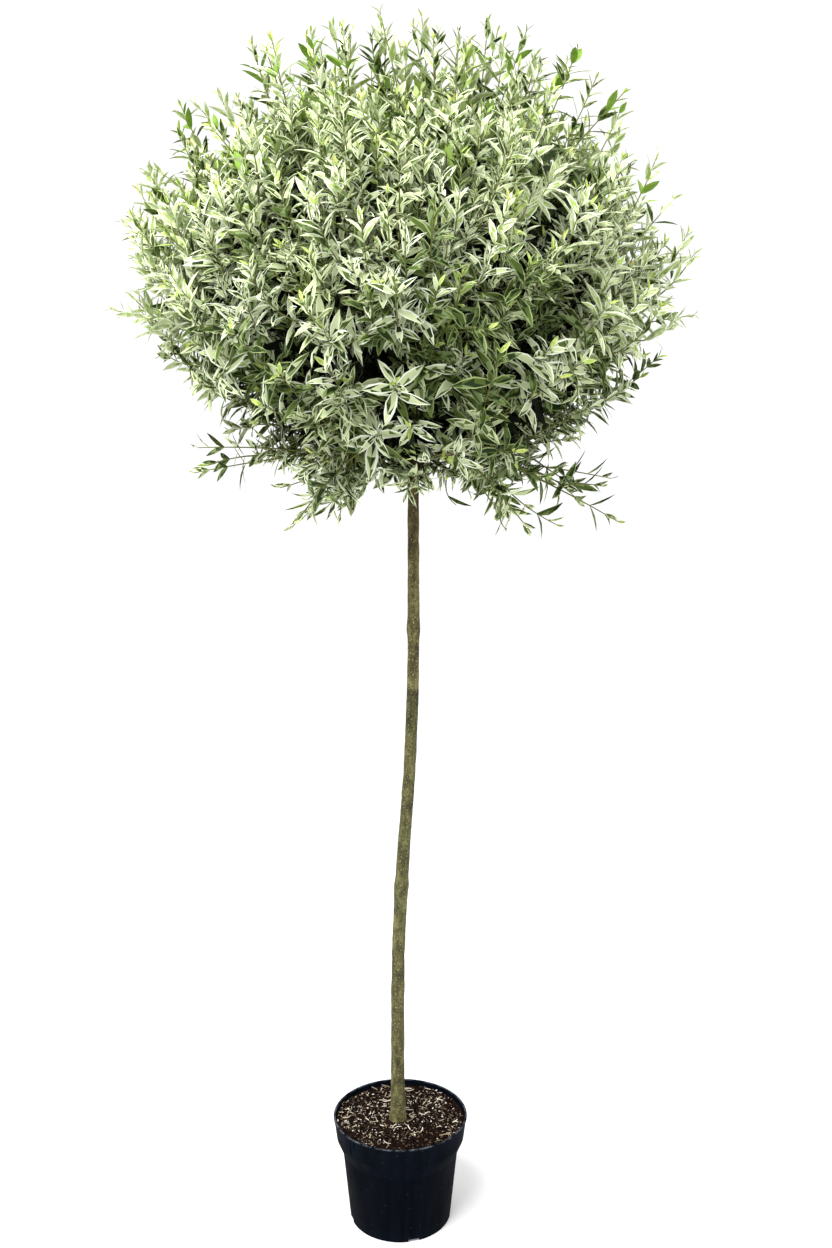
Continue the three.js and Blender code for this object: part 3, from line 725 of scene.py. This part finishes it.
def outer_targets():
    """Where the outer shoots end: most in the dense outline, and some loose ones beyond it."""
    places = spiral(OUTER.count)
    kept = lerp(OUTER.kept_low, 1, openness(places[:, 2]))
    kept *= 1 - THIN.share * low_and_wide(places)
    places = places[rng.random(len(places)) < kept]
    dense = lerp(DENSE.side, DENSE.top, smoothstep(places[:, 2], *DENSE.opens))
    dense *= 1 - WAIST.share * hump(places[:, 2], WAIST)
    dense *= 1 - DENSE.right * np.maximum((places[:, 0] - CROWN_MIDDLE[0]) / CROWN.radius, 0)
    dense *= 1 - DENSE.lumps * np.array([noise.noise(Vector(place / DENSE.lump_size)) for place in places])
    draws = rng.random((3, len(places)))
    front = draws[2] < lerp(*ROWS.front_share, openness(places[:, 2]))
    within = dense * np.where(front, lerp(*ROWS.front, draws[0]), lerp(*ROWS.back, draws[0]))
    loose = front & (draws[1] < OUTER.loose_share)
    shares = np.minimum(np.where(loose, lerp(dense, 1, draws[0]), within), 1)
    crowd = hang(lerp(CROWN_MIDDLE, places, shares[:, None]))
    return np.concatenate([crowd, lobe_targets(), set_out(SPIRES)])


def inner_targets():
    shares = lerp(*INNER.reach, rng.random(INNER.count) ** 0.5)
    return draw_in(spiral(INNER.count), shares)


def grow_shoots(targets, kind, branches, branch_owner):
    """Finer shoots from the branches to targets of their own, and their masses."""
    owner = mass_of(targets)
    distance = np.linalg.norm(targets[:, None] - branches[None, :, -1], axis=2)
    distance[owner[:, None] != branch_owner[None]] += SHOOTS.elsewhere
    path = branches[np.argmin(distance, axis=1)]
    node = lerp(*kind.starts, rng.random(len(targets))) * (PATH_POINTS - 1)
    low = node.astype(int)
    row = np.arange(len(targets))
    start = lerp(path[row, low], path[row, low + 1], (node - low)[:, None])
    length = np.linalg.norm(targets - start, axis=1, keepdims=True)
    outward = (targets - CROWN_MIDDLE) * [1, 1, 0] / CROWN.radius
    upturn = lerp(*UPTURN.ends, smoothstep(targets[:, 2:], *UPTURN.heights))
    way = unit(outward + UP * upturn + rng.normal(0, SHOOTS.waver, targets.shape))
    return bend_path(start, targets - way * length * SHOOTS.lead, targets), owner


def openness(height):
    """How loose sprays are at a height: 0 for rosettes."""
    return smoothstep(height, *HABIT_HEIGHTS)


def spray_kinds(tips):
    """What kind of spray each shoot bears."""
    height = tips[:, 2]
    level = crown_level(tips)
    high = smoothstep(height, *LIKELY_HEIGHTS)
    weights = {name: lerp(*pair, high) for name, pair in LIKELY.items()}
    weights["green"] += GREEN_BELT.weight * hump(height, GREEN_BELT)
    weights["green"] += GREEN_BELT.hanging * hangs_out(tips) * (tips[:, 0] > HEAD[0])
    weights["lemon"] = LEMON.weight * smoothstep(height, *LEMON.heights)
    # Painted light: paler sprays high up, outermost in the crown and at its sides.
    painted_light = np.maximum(PAINTED_LIGHT.high * high, PAINTED_LIGHT.outer * (level > PAINTED_LIGHT.outer_level))
    weights["painted_light"] = painted_light * smoothstep(height, *PAINTED_LIGHT.heights)
    aside = smoothstep(np.abs(tips[:, 0] - CROWN_MIDDLE[0]), *PAINTED_LIGHT_SIDES.aside)
    weights["painted_light"] += PAINTED_LIGHT_SIDES.weight * aside * smoothstep(height, *PAINTED_LIGHT_SIDES.heights)
    # Shoots that end inside the crown get leaves in painted shade.
    weights["shaded"] = (level < SHADED.inside_level) * lerp(SHADED.inside_low, 0, openness(height))
    shares = np.stack([weights.get(name, high * 0) for name in SPRAY_NAMES], 1)
    shares = np.cumsum(shares / shares.sum(1, keepdims=True), 1)
    return np.argmax(shares > rng.random(len(tips))[:, None], axis=1)


def hangs_out(tips):
    """1 for shoots that end low and beyond the crown's reach, and 0 for others."""
    return ((crown_level(tips) > 1.0) & (tips[:, 2] < HABIT_HEIGHTS[0])).astype(float)


def habits(tips):
    """How each shoot bears its leaves."""
    loose = openness(tips[:, 2]) + rng.normal(0, LOOSE.varies, len(tips))
    loose = np.clip(loose + LOOSE.beyond * (crown_level(tips) > 1.0) + LOOSE.aside * low_and_wide(tips), 0, 1)
    hanging = hangs_out(tips)
    return {key: lerp(*pair, loose) * lerp(1, HANGING.get(key, 1), hanging) for key, pair in HABIT.items()}


def leaf_backs(habit, leafy):
    """Where pairs of leaves stand, back from the shoot's tip."""
    places = []
    back = PAIRS.first
    while back < leafy:
        places.append(back)
        gap = lerp(habit["gap_at_tip"], habit["gap"], min(back / habit["crowded"], 1))
        back += gap * (PAIRS.fixed + PAIRS.random * rng.random())
    return np.array(places)


def pair_kinds(backs, tip, kind):
    """The kind of each pair of leaves on a shoot."""
    kinds = np.full(len(backs), kind)
    # Pairs behind a rosette's front get leaves in painted shade.
    shaded_share = lerp(*SHADED.behind, openness(tip[2]))
    kinds[(backs > SHADED.back) & (rng.random(len(backs)) < shaded_share)] = SPRAY_NAMES.index("shaded")
    fresh_share = FRESH.share * smoothstep(tip[2], *FRESH.heights)
    fresh_share = fresh_share if crown_level(tip) > FRESH.level else 0
    kinds[(backs < FRESH.back) & (rng.random(len(backs)) < fresh_share)] = SPRAY_NAMES.index("fresh")
    young = rng.random()
    if young < YOUNG.lime:
        kinds[0] = SPRAY_NAMES.index("blush" if young < YOUNG.blush else "tip")
    return kinds


def leaves_on(paths, owner, leafy=None):
    """The feet, directions, upper sides, sizes, kinds and masses of all leaves on the shoots."""
    tips = paths[:, -1]
    tangents, across, over = frames_along(paths)
    kinds = spray_kinds(tips)
    habit_of = habits(tips)
    out = unit(tips - (HEAD + CROWN_MIDDLE) / 2)
    rows = []
    for i, path in enumerate(paths):
        habit = {key: values[i] for key, values in habit_of.items()}
        length = np.linalg.norm(np.diff(path, axis=0), axis=1).sum()
        backs = leaf_backs(habit, min(leafy or habit["leafy"], length * MOST_LEAFY))
        count = len(backs)
        place = (1 - backs / length) * (PATH_POINTS - 1)
        low = np.minimum(place.astype(int), PATH_POINTS - 2)
        share = (place - low)[:, None]
        foot = lerp(path[low], path[low + 1], share)
        tangent = unit(lerp(tangents[i, low], tangents[i, low + 1], share))
        first = rng.random() * math.pi
        rank = np.arange(count)
        size = lerp(SIZES.tip, 1.0, np.clip(backs / habit["small_to"], 0, 1))
        size = size * lerp(1.0, SIZES.back, backs / SIZES.far)
        lean = lerp(habit["lean_tip"], habit["lean_foot"], np.clip(backs / habit["lean_to"], 0, 1))
        kind = pair_kinds(backs, tips[i], kinds[i])
        for side in (0, 1):
            turn = first + rank * GOLDEN_TURN / 2 + side * math.pi
            turn = turn + rng.normal(0, VARIES.turn, count)
            spoke = across[i, low] * np.cos(turn)[:, None] + over[i, low] * np.sin(turn)[:, None]
            angle = np.radians(lean * (1 + rng.normal(0, VARIES.lean, count)))[:, None]
            way = unit(tangent * np.cos(angle) + spoke * np.sin(angle))
            face = tangent + out[i] * habit["outward"] + UP * habit["upward"]
            face += rng.normal(0, VARIES.upper, face.shape)
            upper = unit(face - way * (face * way).sum(1, keepdims=True))
            scale = size * (1 + rng.normal(0, VARIES.size, count))
            wider = np.where(kind == SPRAY_NAMES.index("fresh"), FRESH.wider, 1)
            width = habit["width"] * wider * scale * (1 + rng.normal(0, VARIES.width, count))
            rows.append({
                "foot": foot, "way": way, "upper": upper, "length": habit["length"] * scale,
                "width": width, "kind": kind, "mass": np.full(count, owner[i]),
                "reach": np.full(count, crown_level(tips[i])),
            })
    return {key: np.concatenate([row[key] for row in rows]) for key in rows[0]}


def trim(leaves):
    """Leaves out what hangs too low, stands out of the crown or its box, or touches the trunk."""
    tip = leaves["foot"] + leaves["way"] * leaves["length"][:, None]
    apart = tip - trunk_middle(np.minimum(tip[:, 2], TRUNK.top))
    low, high = np.array(CAD_BOX[0]) - TRIM.past_box, np.array(CAD_BOX[1]) + TRIM.past_box
    fits = (
        (crown_level(tip) < np.maximum(leaves["reach"], 1) + TRIM.beyond)
        & (tip[:, 2] > underside(tip) - skirt(tip) - TRIM.below)
        & (np.hypot(apart[:, 0], apart[:, 1]) > TRIM.from_trunk)
        & np.all((tip > low) & (tip < high), axis=1)
    )
    return pick(leaves, fits)


def pick(leaves, chosen):
    return {key: values[chosen] for key, values in leaves.items()}


# A leaf's points at its foot and tip, along its edges, round its green middle and down its rib: shares of
# the half width and the length, and whether the point is the middle's. Stations: the edge's width, the
# length, the middle's.
STATIONS = [(0.66, 0.17, 0.60), (1.0, 0.45, 1.0), (0.70, 0.74, 0.62)]
LEAF_POINTS = np.array(
    [(0, 0, 0), (0, 1, 0)]
    + [(side * wide, along, 0) for side in (-1, 1) for wide, along, _ in STATIONS]
    + [(side * middle, along, 1) for side in (-1, 1, 0) for _, along, middle in STATIONS],
    float,
)


def leaf_faces():
    """A leaf's faces: triangles and quads of its edge, and the triangles of its middle."""
    foot, tip, rib = 0, 1, (14, 15, 16)
    ends, sides, patches = [], [], []
    for outer, inner, step in (((2, 3, 4), (8, 9, 10), 1), ((5, 6, 7), (11, 12, 13), -1)):
        for part, chain, along in ((ends, outer, inner), (patches, inner, rib)):
            part += [(foot, chain[0], along[0])[::step], (chain[2], tip, along[2])[::step]]
        for i in (0, 1):
            sides.append((outer[i], outer[i + 1], inner[i + 1], inner[i])[::step])
            patches.append((inner[i], inner[i + 1], rib[i + 1])[::step])
            patches.append((inner[i], rib[i + 1], rib[i])[::step])
    return [np.array(part) for part in (ends, sides, patches)]


LEAF_FACES = leaf_faces()
# A leaf deep in the crown has a plain outline, and its two halves meet at the rib.
PLAIN_STATIONS = [(0.9, 0.3), (0.8, 0.65)]
PLAIN_POINTS = np.array(
    [(0, 0, 0), (0, 1, 0)]
    + [(side * wide, along, 0) for side in (-1, 1, 0) for wide, along in PLAIN_STATIONS],
    float,
)
PLAIN_FACES = [np.array([(0, 2, 6), (3, 1, 7), (6, 4, 0), (7, 1, 5)]), np.array([(2, 3, 7, 6), (6, 7, 5, 4)])]


def leaf_vertices(leaves, points):
    """Each leaf folded along its rib and bent back, with its green middle drawn in."""
    keys = ("foot", "way", "upper", "length", "width")
    foot, way, upper, length, width = (leaves[key][:, None] for key in keys)
    count = len(foot)
    across, along, inner = points.T
    edge = np.array([width for width, _, _ in SPRAYS.values()])[leaves["kind"]]
    drawn_in = 1 - inner[None] * edge[:, None] * (1 + rng.normal(0, VARIES.middle, (count, len(points))))
    half = width / 2 * across[None] * drawn_in
    fold = rng.uniform(*FOLD, count)[:, None] * np.abs(half)
    bow = rng.normal(*BOW, count)[:, None] * along[None] ** 2 * length
    run, half, rise = (part[..., None] for part in (length * along[None], half, fold - bow))
    return foot + run * way + half * np.cross(way, upper) + rise * upper


def numbers(names):
    """Which colours a text of names lists."""
    return np.array([COLOUR_NAMES.index(name) for name in names.split()])


def spray_colours(leaves):
    """The colour of each face: plain on a leaf's edge, and mottled on its middle."""
    edges = np.array([numbers(edge)[0] for _, edge, _ in SPRAYS.values()])[leaves["kind"]]
    middles = np.array([numbers(middle) for _, _, middle in SPRAYS.values()])
    ends, sides, patches = (len(faces) for faces in LEAF_FACES)
    deal = rng.integers(0, middles.shape[1], (len(edges), patches))
    mottled = middles[leaves["kind"][:, None], deal].ravel()
    return [np.repeat(edges, ends), np.repeat(edges, sides), mottled]


def deep_shade_colours(leaves):
    # Painted shade: deep leaves are darker the lower they stand in the crown.
    colours = numbers(DEEP_SHADE_COLOURS)
    light = smoothstep(leaves["foot"][:, 2], *DEEP_SHADE_HEIGHTS)
    light = light + rng.normal(0, DEEP_VARIES, len(light))
    chosen = colours[np.clip((light * len(colours)).astype(int), 0, len(colours) - 1)]
    return [np.repeat(chosen, len(faces)) for faces in PLAIN_FACES]


def leaf_piece(name, leaves, materials, *nodes, deep=False):
    """Leaves joined as one piece, in full or in the plain outline."""
    points, shapes = (PLAIN_POINTS, PLAIN_FACES) if deep else (LEAF_POINTS, LEAF_FACES)
    colours = deep_shade_colours(leaves) if deep else spray_colours(leaves)
    base = (np.arange(len(leaves["foot"])) * len(points))[:, None, None]
    faces = [(base + part[None]).reshape(-1, part.shape[1]) for part in shapes]
    vertices = leaf_vertices(leaves, points)
    return keep(make_mesh(name, vertices, faces, materials, np.concatenate(colours)), "leaves", *nodes)


def stem(name, axis, far, material):
    """A bough and the stem that carries it on, slightly crooked and rough."""
    share = np.linspace(0, 1, STEM.rings)
    length = far * STEM.tip_at
    side = unit(np.cross(axis, UP))
    sway = np.sin(share * math.pi * STEM.sways + far * STEM.sway_from) * STEM.sway * share
    path = HEAD + axis * (share * length)[:, None] + side * sway[:, None]
    at_bough = BOUGH.reach / length
    radii = np.interp(share, [0, at_bough, 1], [BOUGH.base_radius, BOUGH.tip_radius, STEM.tip_radius])
    vertices, faces = tubes(path[None], radii[None], STEM.sides)
    vertices = roughen(vertices, np.repeat(path, STEM.sides, axis=0), STEM.relief)
    return keep(make_mesh(f"{name}_bark", vertices, faces, [material]), "bark", name)


def twig_piece(name, groups, material, *nodes):
    """Twigs joined as one piece, from groups of paths, two radii and a number of sides."""
    vertices, faces = [], []
    for paths, foot, tip, sides in groups:
        radii = np.repeat(np.linspace(foot, tip, paths.shape[1])[None], len(paths), axis=0)
        made, parts = tubes(paths, radii, sides)
        base = sum(len(part) for part in vertices)
        vertices.append(made)
        faces += [part + base for part in parts]
    return keep(make_mesh(name, np.concatenate(vertices), faces, [material]), "bark", *nodes)


def crown(leaf_materials, old_bark, young_bark):
    """The boughs, and each mass's twigs, leaves and deep leaves."""
    branches, branch_owner = grow_branches()
    outer, outer_owner = grow_shoots(outer_targets(), OUTER, branches, branch_owner)
    inner, inner_owner = grow_shoots(inner_targets(), INNER, branches, branch_owner)
    paths, owner = np.concatenate([branches, outer]), np.concatenate([branch_owner, outer_owner])
    leaves = trim(leaves_on(paths, owner))
    deep = trim(leaves_on(inner, inner_owner, INNER.leafy))
    for i, name in enumerate(MASSES):
        node = f"foliage_{name}"
        stem(f"bough_{name}", AXES[i], REACHES[i], old_bark)
        leaf_piece(f"leaves_{name}", pick(leaves, leaves["mass"] == i), leaf_materials, node)
        leaf_piece(f"deep_leaves_{name}", pick(deep, deep["mass"] == i), leaf_materials, node, deep=True)
        groups = [
            (branches[branch_owner == i], *TWIGS.branch),
            (outer[outer_owner == i], *TWIGS.outer),
            (inner[inner_owner == i], *TWIGS.inner),
        ]
        twig_piece(f"twigs_{name}", groups, young_bark, node)


def sprigs(leaf_materials, young_bark):
    """Short leafy shoots all round the top of the trunk."""
    number = np.arange(SPRIGS.count)
    turned = number * 360 / SPRIGS.count + rng.normal(0, SPRIGS.turned, SPRIGS.count)
    bearings = SPRIGS.first_bearing + turned
    feet = trunk_middle(rng.uniform(*SPRIGS.heights, SPRIGS.count))
    rises = np.where(number < SPRIGS.front, SPRIGS.front_rise, SPRIGS.rise)
    ways = np.array([heading(bearing, rise) for bearing, rise in zip(bearings, rises)])
    tips = feet + ways * rng.uniform(*SPRIGS.lengths, (SPRIGS.count, 1))
    paths = bend_path(feet, lerp(feet, tips, 0.5) + UP * SPRIGS.arch, tips)
    leaf_piece("sprig_leaves", leaves_on(paths, np.zeros(len(paths), int), SPRIGS.leafy), leaf_materials)
    twig_piece("sprig_twigs", [(paths, *TWIGS.sprig)], young_bark)


# The pot and its filling


def revolve(profile, sides):
    """Vertices and faces of a closed body of revolution, from (radius, height) pairs."""
    turn = np.arange(sides) * 2 * math.pi / sides
    rings = [np.stack([r * np.cos(turn), r * np.sin(turn), np.full(sides, z)], 1) for r, z in profile]
    return np.concatenate(rings), ring_faces(1, len(rings), sides, other_way=True)


def rounded(profile, radius, steps=4):
    """A profile with its corners rounded off."""
    points = [np.array(point, float) for point in profile]
    made = [points[0]]
    for before, corner, after in zip(points, points[1:], points[2:]):
        reach = min(radius, np.linalg.norm(before - corner) / 2, np.linalg.norm(after - corner) / 2)
        start = corner + unit(before - corner) * reach
        end = corner + unit(after - corner) * reach
        made += [bend(start, corner, end, t) for t in np.linspace(0, 1, steps)]
    return made + points[-1:]


def cutter(bearing, distance, low, size):
    """An upright box at a bearing."""
    mesh = bpy.data.meshes.new("cutter")
    made = bmesh.new()
    bmesh.ops.create_cube(made, size=1)
    turn = Matrix.Rotation(math.radians(bearing), 4, "Z")
    place = turn @ Matrix.Translation((distance, 0, low + size[2] / 2)) @ Matrix.Diagonal((*size, 1))
    bmesh.ops.transform(made, matrix=place, verts=made.verts)
    made.to_mesh(mesh)
    made.free()
    return in_scene("cutter", mesh)


def cut(piece, boxes):
    for box in boxes:
        boolean = piece.modifiers.new("cut", "BOOLEAN")
        boolean.operation = "DIFFERENCE"
        boolean.solver = "EXACT"
        boolean.object = box
    evaluated = piece.evaluated_get(bpy.context.evaluated_depsgraph_get())
    mesh = bpy.data.meshes.new_from_object(evaluated)
    piece.modifiers.clear()
    piece.data = mesh
    for box in boxes:
        bpy.data.objects.remove(box)


def inside(inset):
    """The shoulder and the foot of the band, inside the pot."""
    return [(radius - inset, height + POT.wall) for radius, height in POT_SIDE[1:]]


def pot_profile():
    """The pot's outline, up its outside and down its inside."""
    lip_foot = POT.height - POT.lip_height
    return [
        (NEAR_AXIS, 0),
        *POT_SIDE,
        (POT.rim_radius - POT.lip, lip_foot - POT.lip),
        (POT.rim_radius, lip_foot),
        (POT.rim_radius, POT.height),
        (POT.rim_radius - POT.lip - POT.wall, POT.height),
        *reversed(inside(POT.wall)),
        (POT.foot_radius - POT.wall, POT.base),
        (NEAR_AXIS, POT.base),
    ]


def pot(material):
    vertices, faces = revolve(rounded(pot_profile(), POT.rounding), POT.sides)
    piece = make_mesh("pot_shell", vertices, faces, [material])
    middle = (POT.rim_radius + POT.band_foot_radius) / 2
    boxes = [
        cutter(bearing, middle, POT.height - SLITS.below_rim - tall, (POT.wall * 4, SLITS.width, tall))
        for bearing, tall in SLITS.places
    ]
    drain = (DRAIN.depth * 2, DRAIN.width, DRAIN.height * 2)
    for i in range(DRAIN.count):
        bearing = DRAIN.first_bearing + 360 * i / DRAIN.count
        boxes.append(cutter(bearing, POT.foot_radius, -DRAIN.height, drain))
    cut(piece, boxes)
    piece.data.polygons.foreach_set("use_smooth", [True] * len(piece.data.polygons))
    piece.data.set_sharp_from_angle(angle=math.radians(POT.sharp_deg))
    return keep(piece, "plastic", "pot")


def soil_height(x, y):
    """The height of the potting mix: domed towards the trunk, and uneven."""
    edge = POT.rim_radius - POT.lip - POT.wall * 2
    share = np.clip((math.hypot(x, y) - SOIL.pad_radius) / (edge - SOIL.pad_radius), 0, 1)
    rough = sum(
        part * noise.fractal(Vector((x * fineness, y * fineness, level)), *FRACTAL, octaves)
        for part, fineness, level, octaves in SOIL.layers
    )
    return SOIL.top - SOIL.fall_to_wall * share + SOIL.relief * rough


def soil_edge(height):
    """The radius of the pot's inside at a height in its band, less a little."""
    share = (height - BAND_FOOT) / POT.band_height
    return lerp(POT.band_foot_radius, POT.rim_radius - POT.lip, share) - POT.wall - SOIL.gap


def potting_mix(material):
    """The filling as one closed body, with an uneven top."""
    inset = POT.wall + SOIL.gap
    foot = POT.base + SOIL.foot_gap
    edge_height = SOIL.top - SOIL.fall_to_wall
    edge = soil_edge(edge_height)
    profile = [
        (NEAR_AXIS, foot),
        (POT.foot_radius - inset, foot),
        *inside(inset),
        (edge, edge_height - SOIL.edge_drop),
    ]
    low = len(profile)
    profile += [(edge * (1 - t) + NEAR_AXIS, edge_height) for t in np.linspace(0, 0.999, SOIL.rings)]
    vertices, faces = revolve(profile, SOIL.sides)
    for vertex in vertices[low * SOIL.sides:]:
        vertex[2] = soil_height(vertex[0], vertex[1])
    return keep(make_mesh("potting_mix", vertices, faces, [material]), "compost", "potting_soil")


def drift(x, y):
    """How thickly pale bits lie at a place."""
    lumps = noise.noise(Vector((x / DRIFTS.size, y / DRIFTS.size, DRIFTS.level)))
    return 0.5 + lumps - DRIFTS.left * x + DRIFTS.back * y


def scatter(kind):
    """Points on the potting mix for the bits of a kind, even or in drifts."""
    places = []
    edge = soil_edge(SOIL.top) - SOIL.edge_clear
    fixed, random = DRIFTS.limit
    while len(places) < kind.count:
        x, y = rng.uniform(-edge, edge, 2)
        free = SOIL.trunk_clear < math.hypot(x - TRUNK.left, y) and math.hypot(x, y) < edge
        if free and (not kind.drifts or drift(x, y) > DRIFTS.least * (fixed + random * rng.random())):
            places.append((x, y, soil_height(x, y)))
    return np.array(places)


def keep_dealt(name, kind, vertices, faces, smooth):
    """A piece of many bits, each of one of its kind's colours."""
    materials = [plain_material(f"{kind.name}_{i}", c, *kind.finish) for i, c in enumerate(kind.colours)]
    shade = rng.integers(0, len(materials), kind.count)
    dealt = np.concatenate([np.repeat(shade, len(part) // kind.count) for part in faces])
    return keep(make_mesh(name, vertices, faces, materials, dealt, smooth), "compost")


def bits(name, kind):
    """Small uneven eight-faced lumps on the potting mix."""
    count, places = kind.count, scatter(kind)
    corners = np.array([(1, 0, 0), (0, 1, 0), (-1, 0, 0), (0, -1, 0), (0, 0, 1), (0, 0, -1)], float)
    sides = [(0, 1), (1, 2), (2, 3), (3, 0)]
    faces = np.array([(i, j, 4) for i, j in sides] + [(j, i, 5) for i, j in sides])
    size = lerp(*kind.sizes, rng.random(count) ** SMALL_SHARE) / 2
    turn = (rng.random(count) * 2 * math.pi)[:, None]
    lumps = corners[None] * rng.uniform(*LUMP.uneven, (count, len(corners), 1)) * size[:, None, None]
    lumps[..., 0] *= rng.uniform(*LUMP.longer, count)[:, None]
    lumps[..., 2] *= LUMP.flat
    tilt = rng.normal(0, LUMP.tilt, (count, 2))
    along, across, up = np.moveaxis(lumps, -1, 0)
    up = up + (along * tilt[:, :1] + across * tilt[:, 1:])
    x = along * np.cos(turn) - across * np.sin(turn)
    y = along * np.sin(turn) + across * np.cos(turn)
    vertices = np.stack([x, y, up], -1) + places[:, None]
    vertices[..., 2] += (size * LUMP.rise)[:, None]
    all_faces = (np.arange(count)[:, None, None] * len(corners) + faces[None]).reshape(-1, 3)
    return keep_dealt(name, kind, vertices, [all_faces], smooth=False)


def fibres(name, kind):
    """Pale strips, lightly bent, on the potting mix."""
    count, middles = kind.count, scatter(kind)
    turn = rng.random(count) * 2 * math.pi
    length = lerp(*kind.sizes, rng.random(count) ** SMALL_SHARE)
    way = np.stack([np.cos(turn), np.sin(turn), rng.normal(0, STRIP.tilt, count)], 1)
    side = np.stack([-np.sin(turn), np.cos(turn), np.zeros(count)], 1)
    half = way * length[:, None] / 2
    control = middles + side * (rng.normal(0, STRIP.bend, count) * length)[:, None] + UP * STRIP.arch
    paths = bend_path(middles - half, control, middles + half) + UP * STRIP.rise
    radii = np.repeat(rng.uniform(*STRIP.radius, count)[:, None], PATH_POINTS, axis=1)
    radii[:, [0, -1]] *= STRIP.ends
    vertices, faces = tubes(paths, radii, STRIP.sides)
    return keep_dealt(name, kind, vertices, faces, smooth=True)


# The studio


def floor():
    mesh = bpy.data.meshes.new("floor")
    half = STUDIO.floor / 2
    corners = [(-half, -half, 0), (half, -half, 0), (half, half, 0), (-half, half, 0)]
    mesh.from_pydata(corners, [], [(0, 1, 2, 3)])
    mesh.materials.append(plain_material("floor_paper", STUDIO.paper, 0.9, 0.0))
    plane = in_scene("floor", mesh)


def studio():
    """An even white surround, and one soft lamp."""
    world = bpy.data.worlds.new("studio")
    world.use_nodes = True
    background = world.node_tree.nodes["Background"]
    background.inputs["Color"].default_value = (1.0, 1.0, 1.0, 1.0)
    background.inputs["Strength"].default_value = STUDIO.surround
    bpy.context.scene.world = world
    bpy.context.scene.view_settings.view_transform = "Standard"
    lamp = bpy.data.lights.new("key", "AREA")
    lamp.shape = "DISK"
    lamp.size = STUDIO.lamp_size
    lamp.energy = STUDIO.lamp_watts
    light = in_scene("key", lamp)
    light.location = STUDIO.lamp_place
    way = Vector(STUDIO.lamp_aim) - Vector(STUDIO.lamp_place)
    light.rotation_euler = way.to_track_quat("-Z", "Y").to_euler()


def camera():
    data = bpy.data.cameras.new("camera")
    data.sensor_width = CAMERA.sensor_mm
    data.lens = CAMERA.lens_mm
    data.clip_end = 100
    eye = in_scene("camera", data)
    eye.location = CAMERA.place
    eye.rotation_euler = (math.radians(90 - CAMERA.tilt_deg), 0, 0)
    bpy.context.scene.camera = eye


camera()
studio()
floor()
leaf_materials = [plain_material(f"leaf_{name}", colour, *LEAF_FINISH) for name, colour in COLOURS.items()]
young_bark = plain_material("young_shoot", *YOUNG_BARK)
trunk(bark_material())
crown(leaf_materials, shoot_bark_material(), young_bark)
sprigs(leaf_materials, young_bark)
pot(plastic_material())
potting_mix(peat_material())
bits("mix_crumbs", CRUMBS)
bits("mix_grit", GRIT)
fibres("mix_fibres", FIBRES)
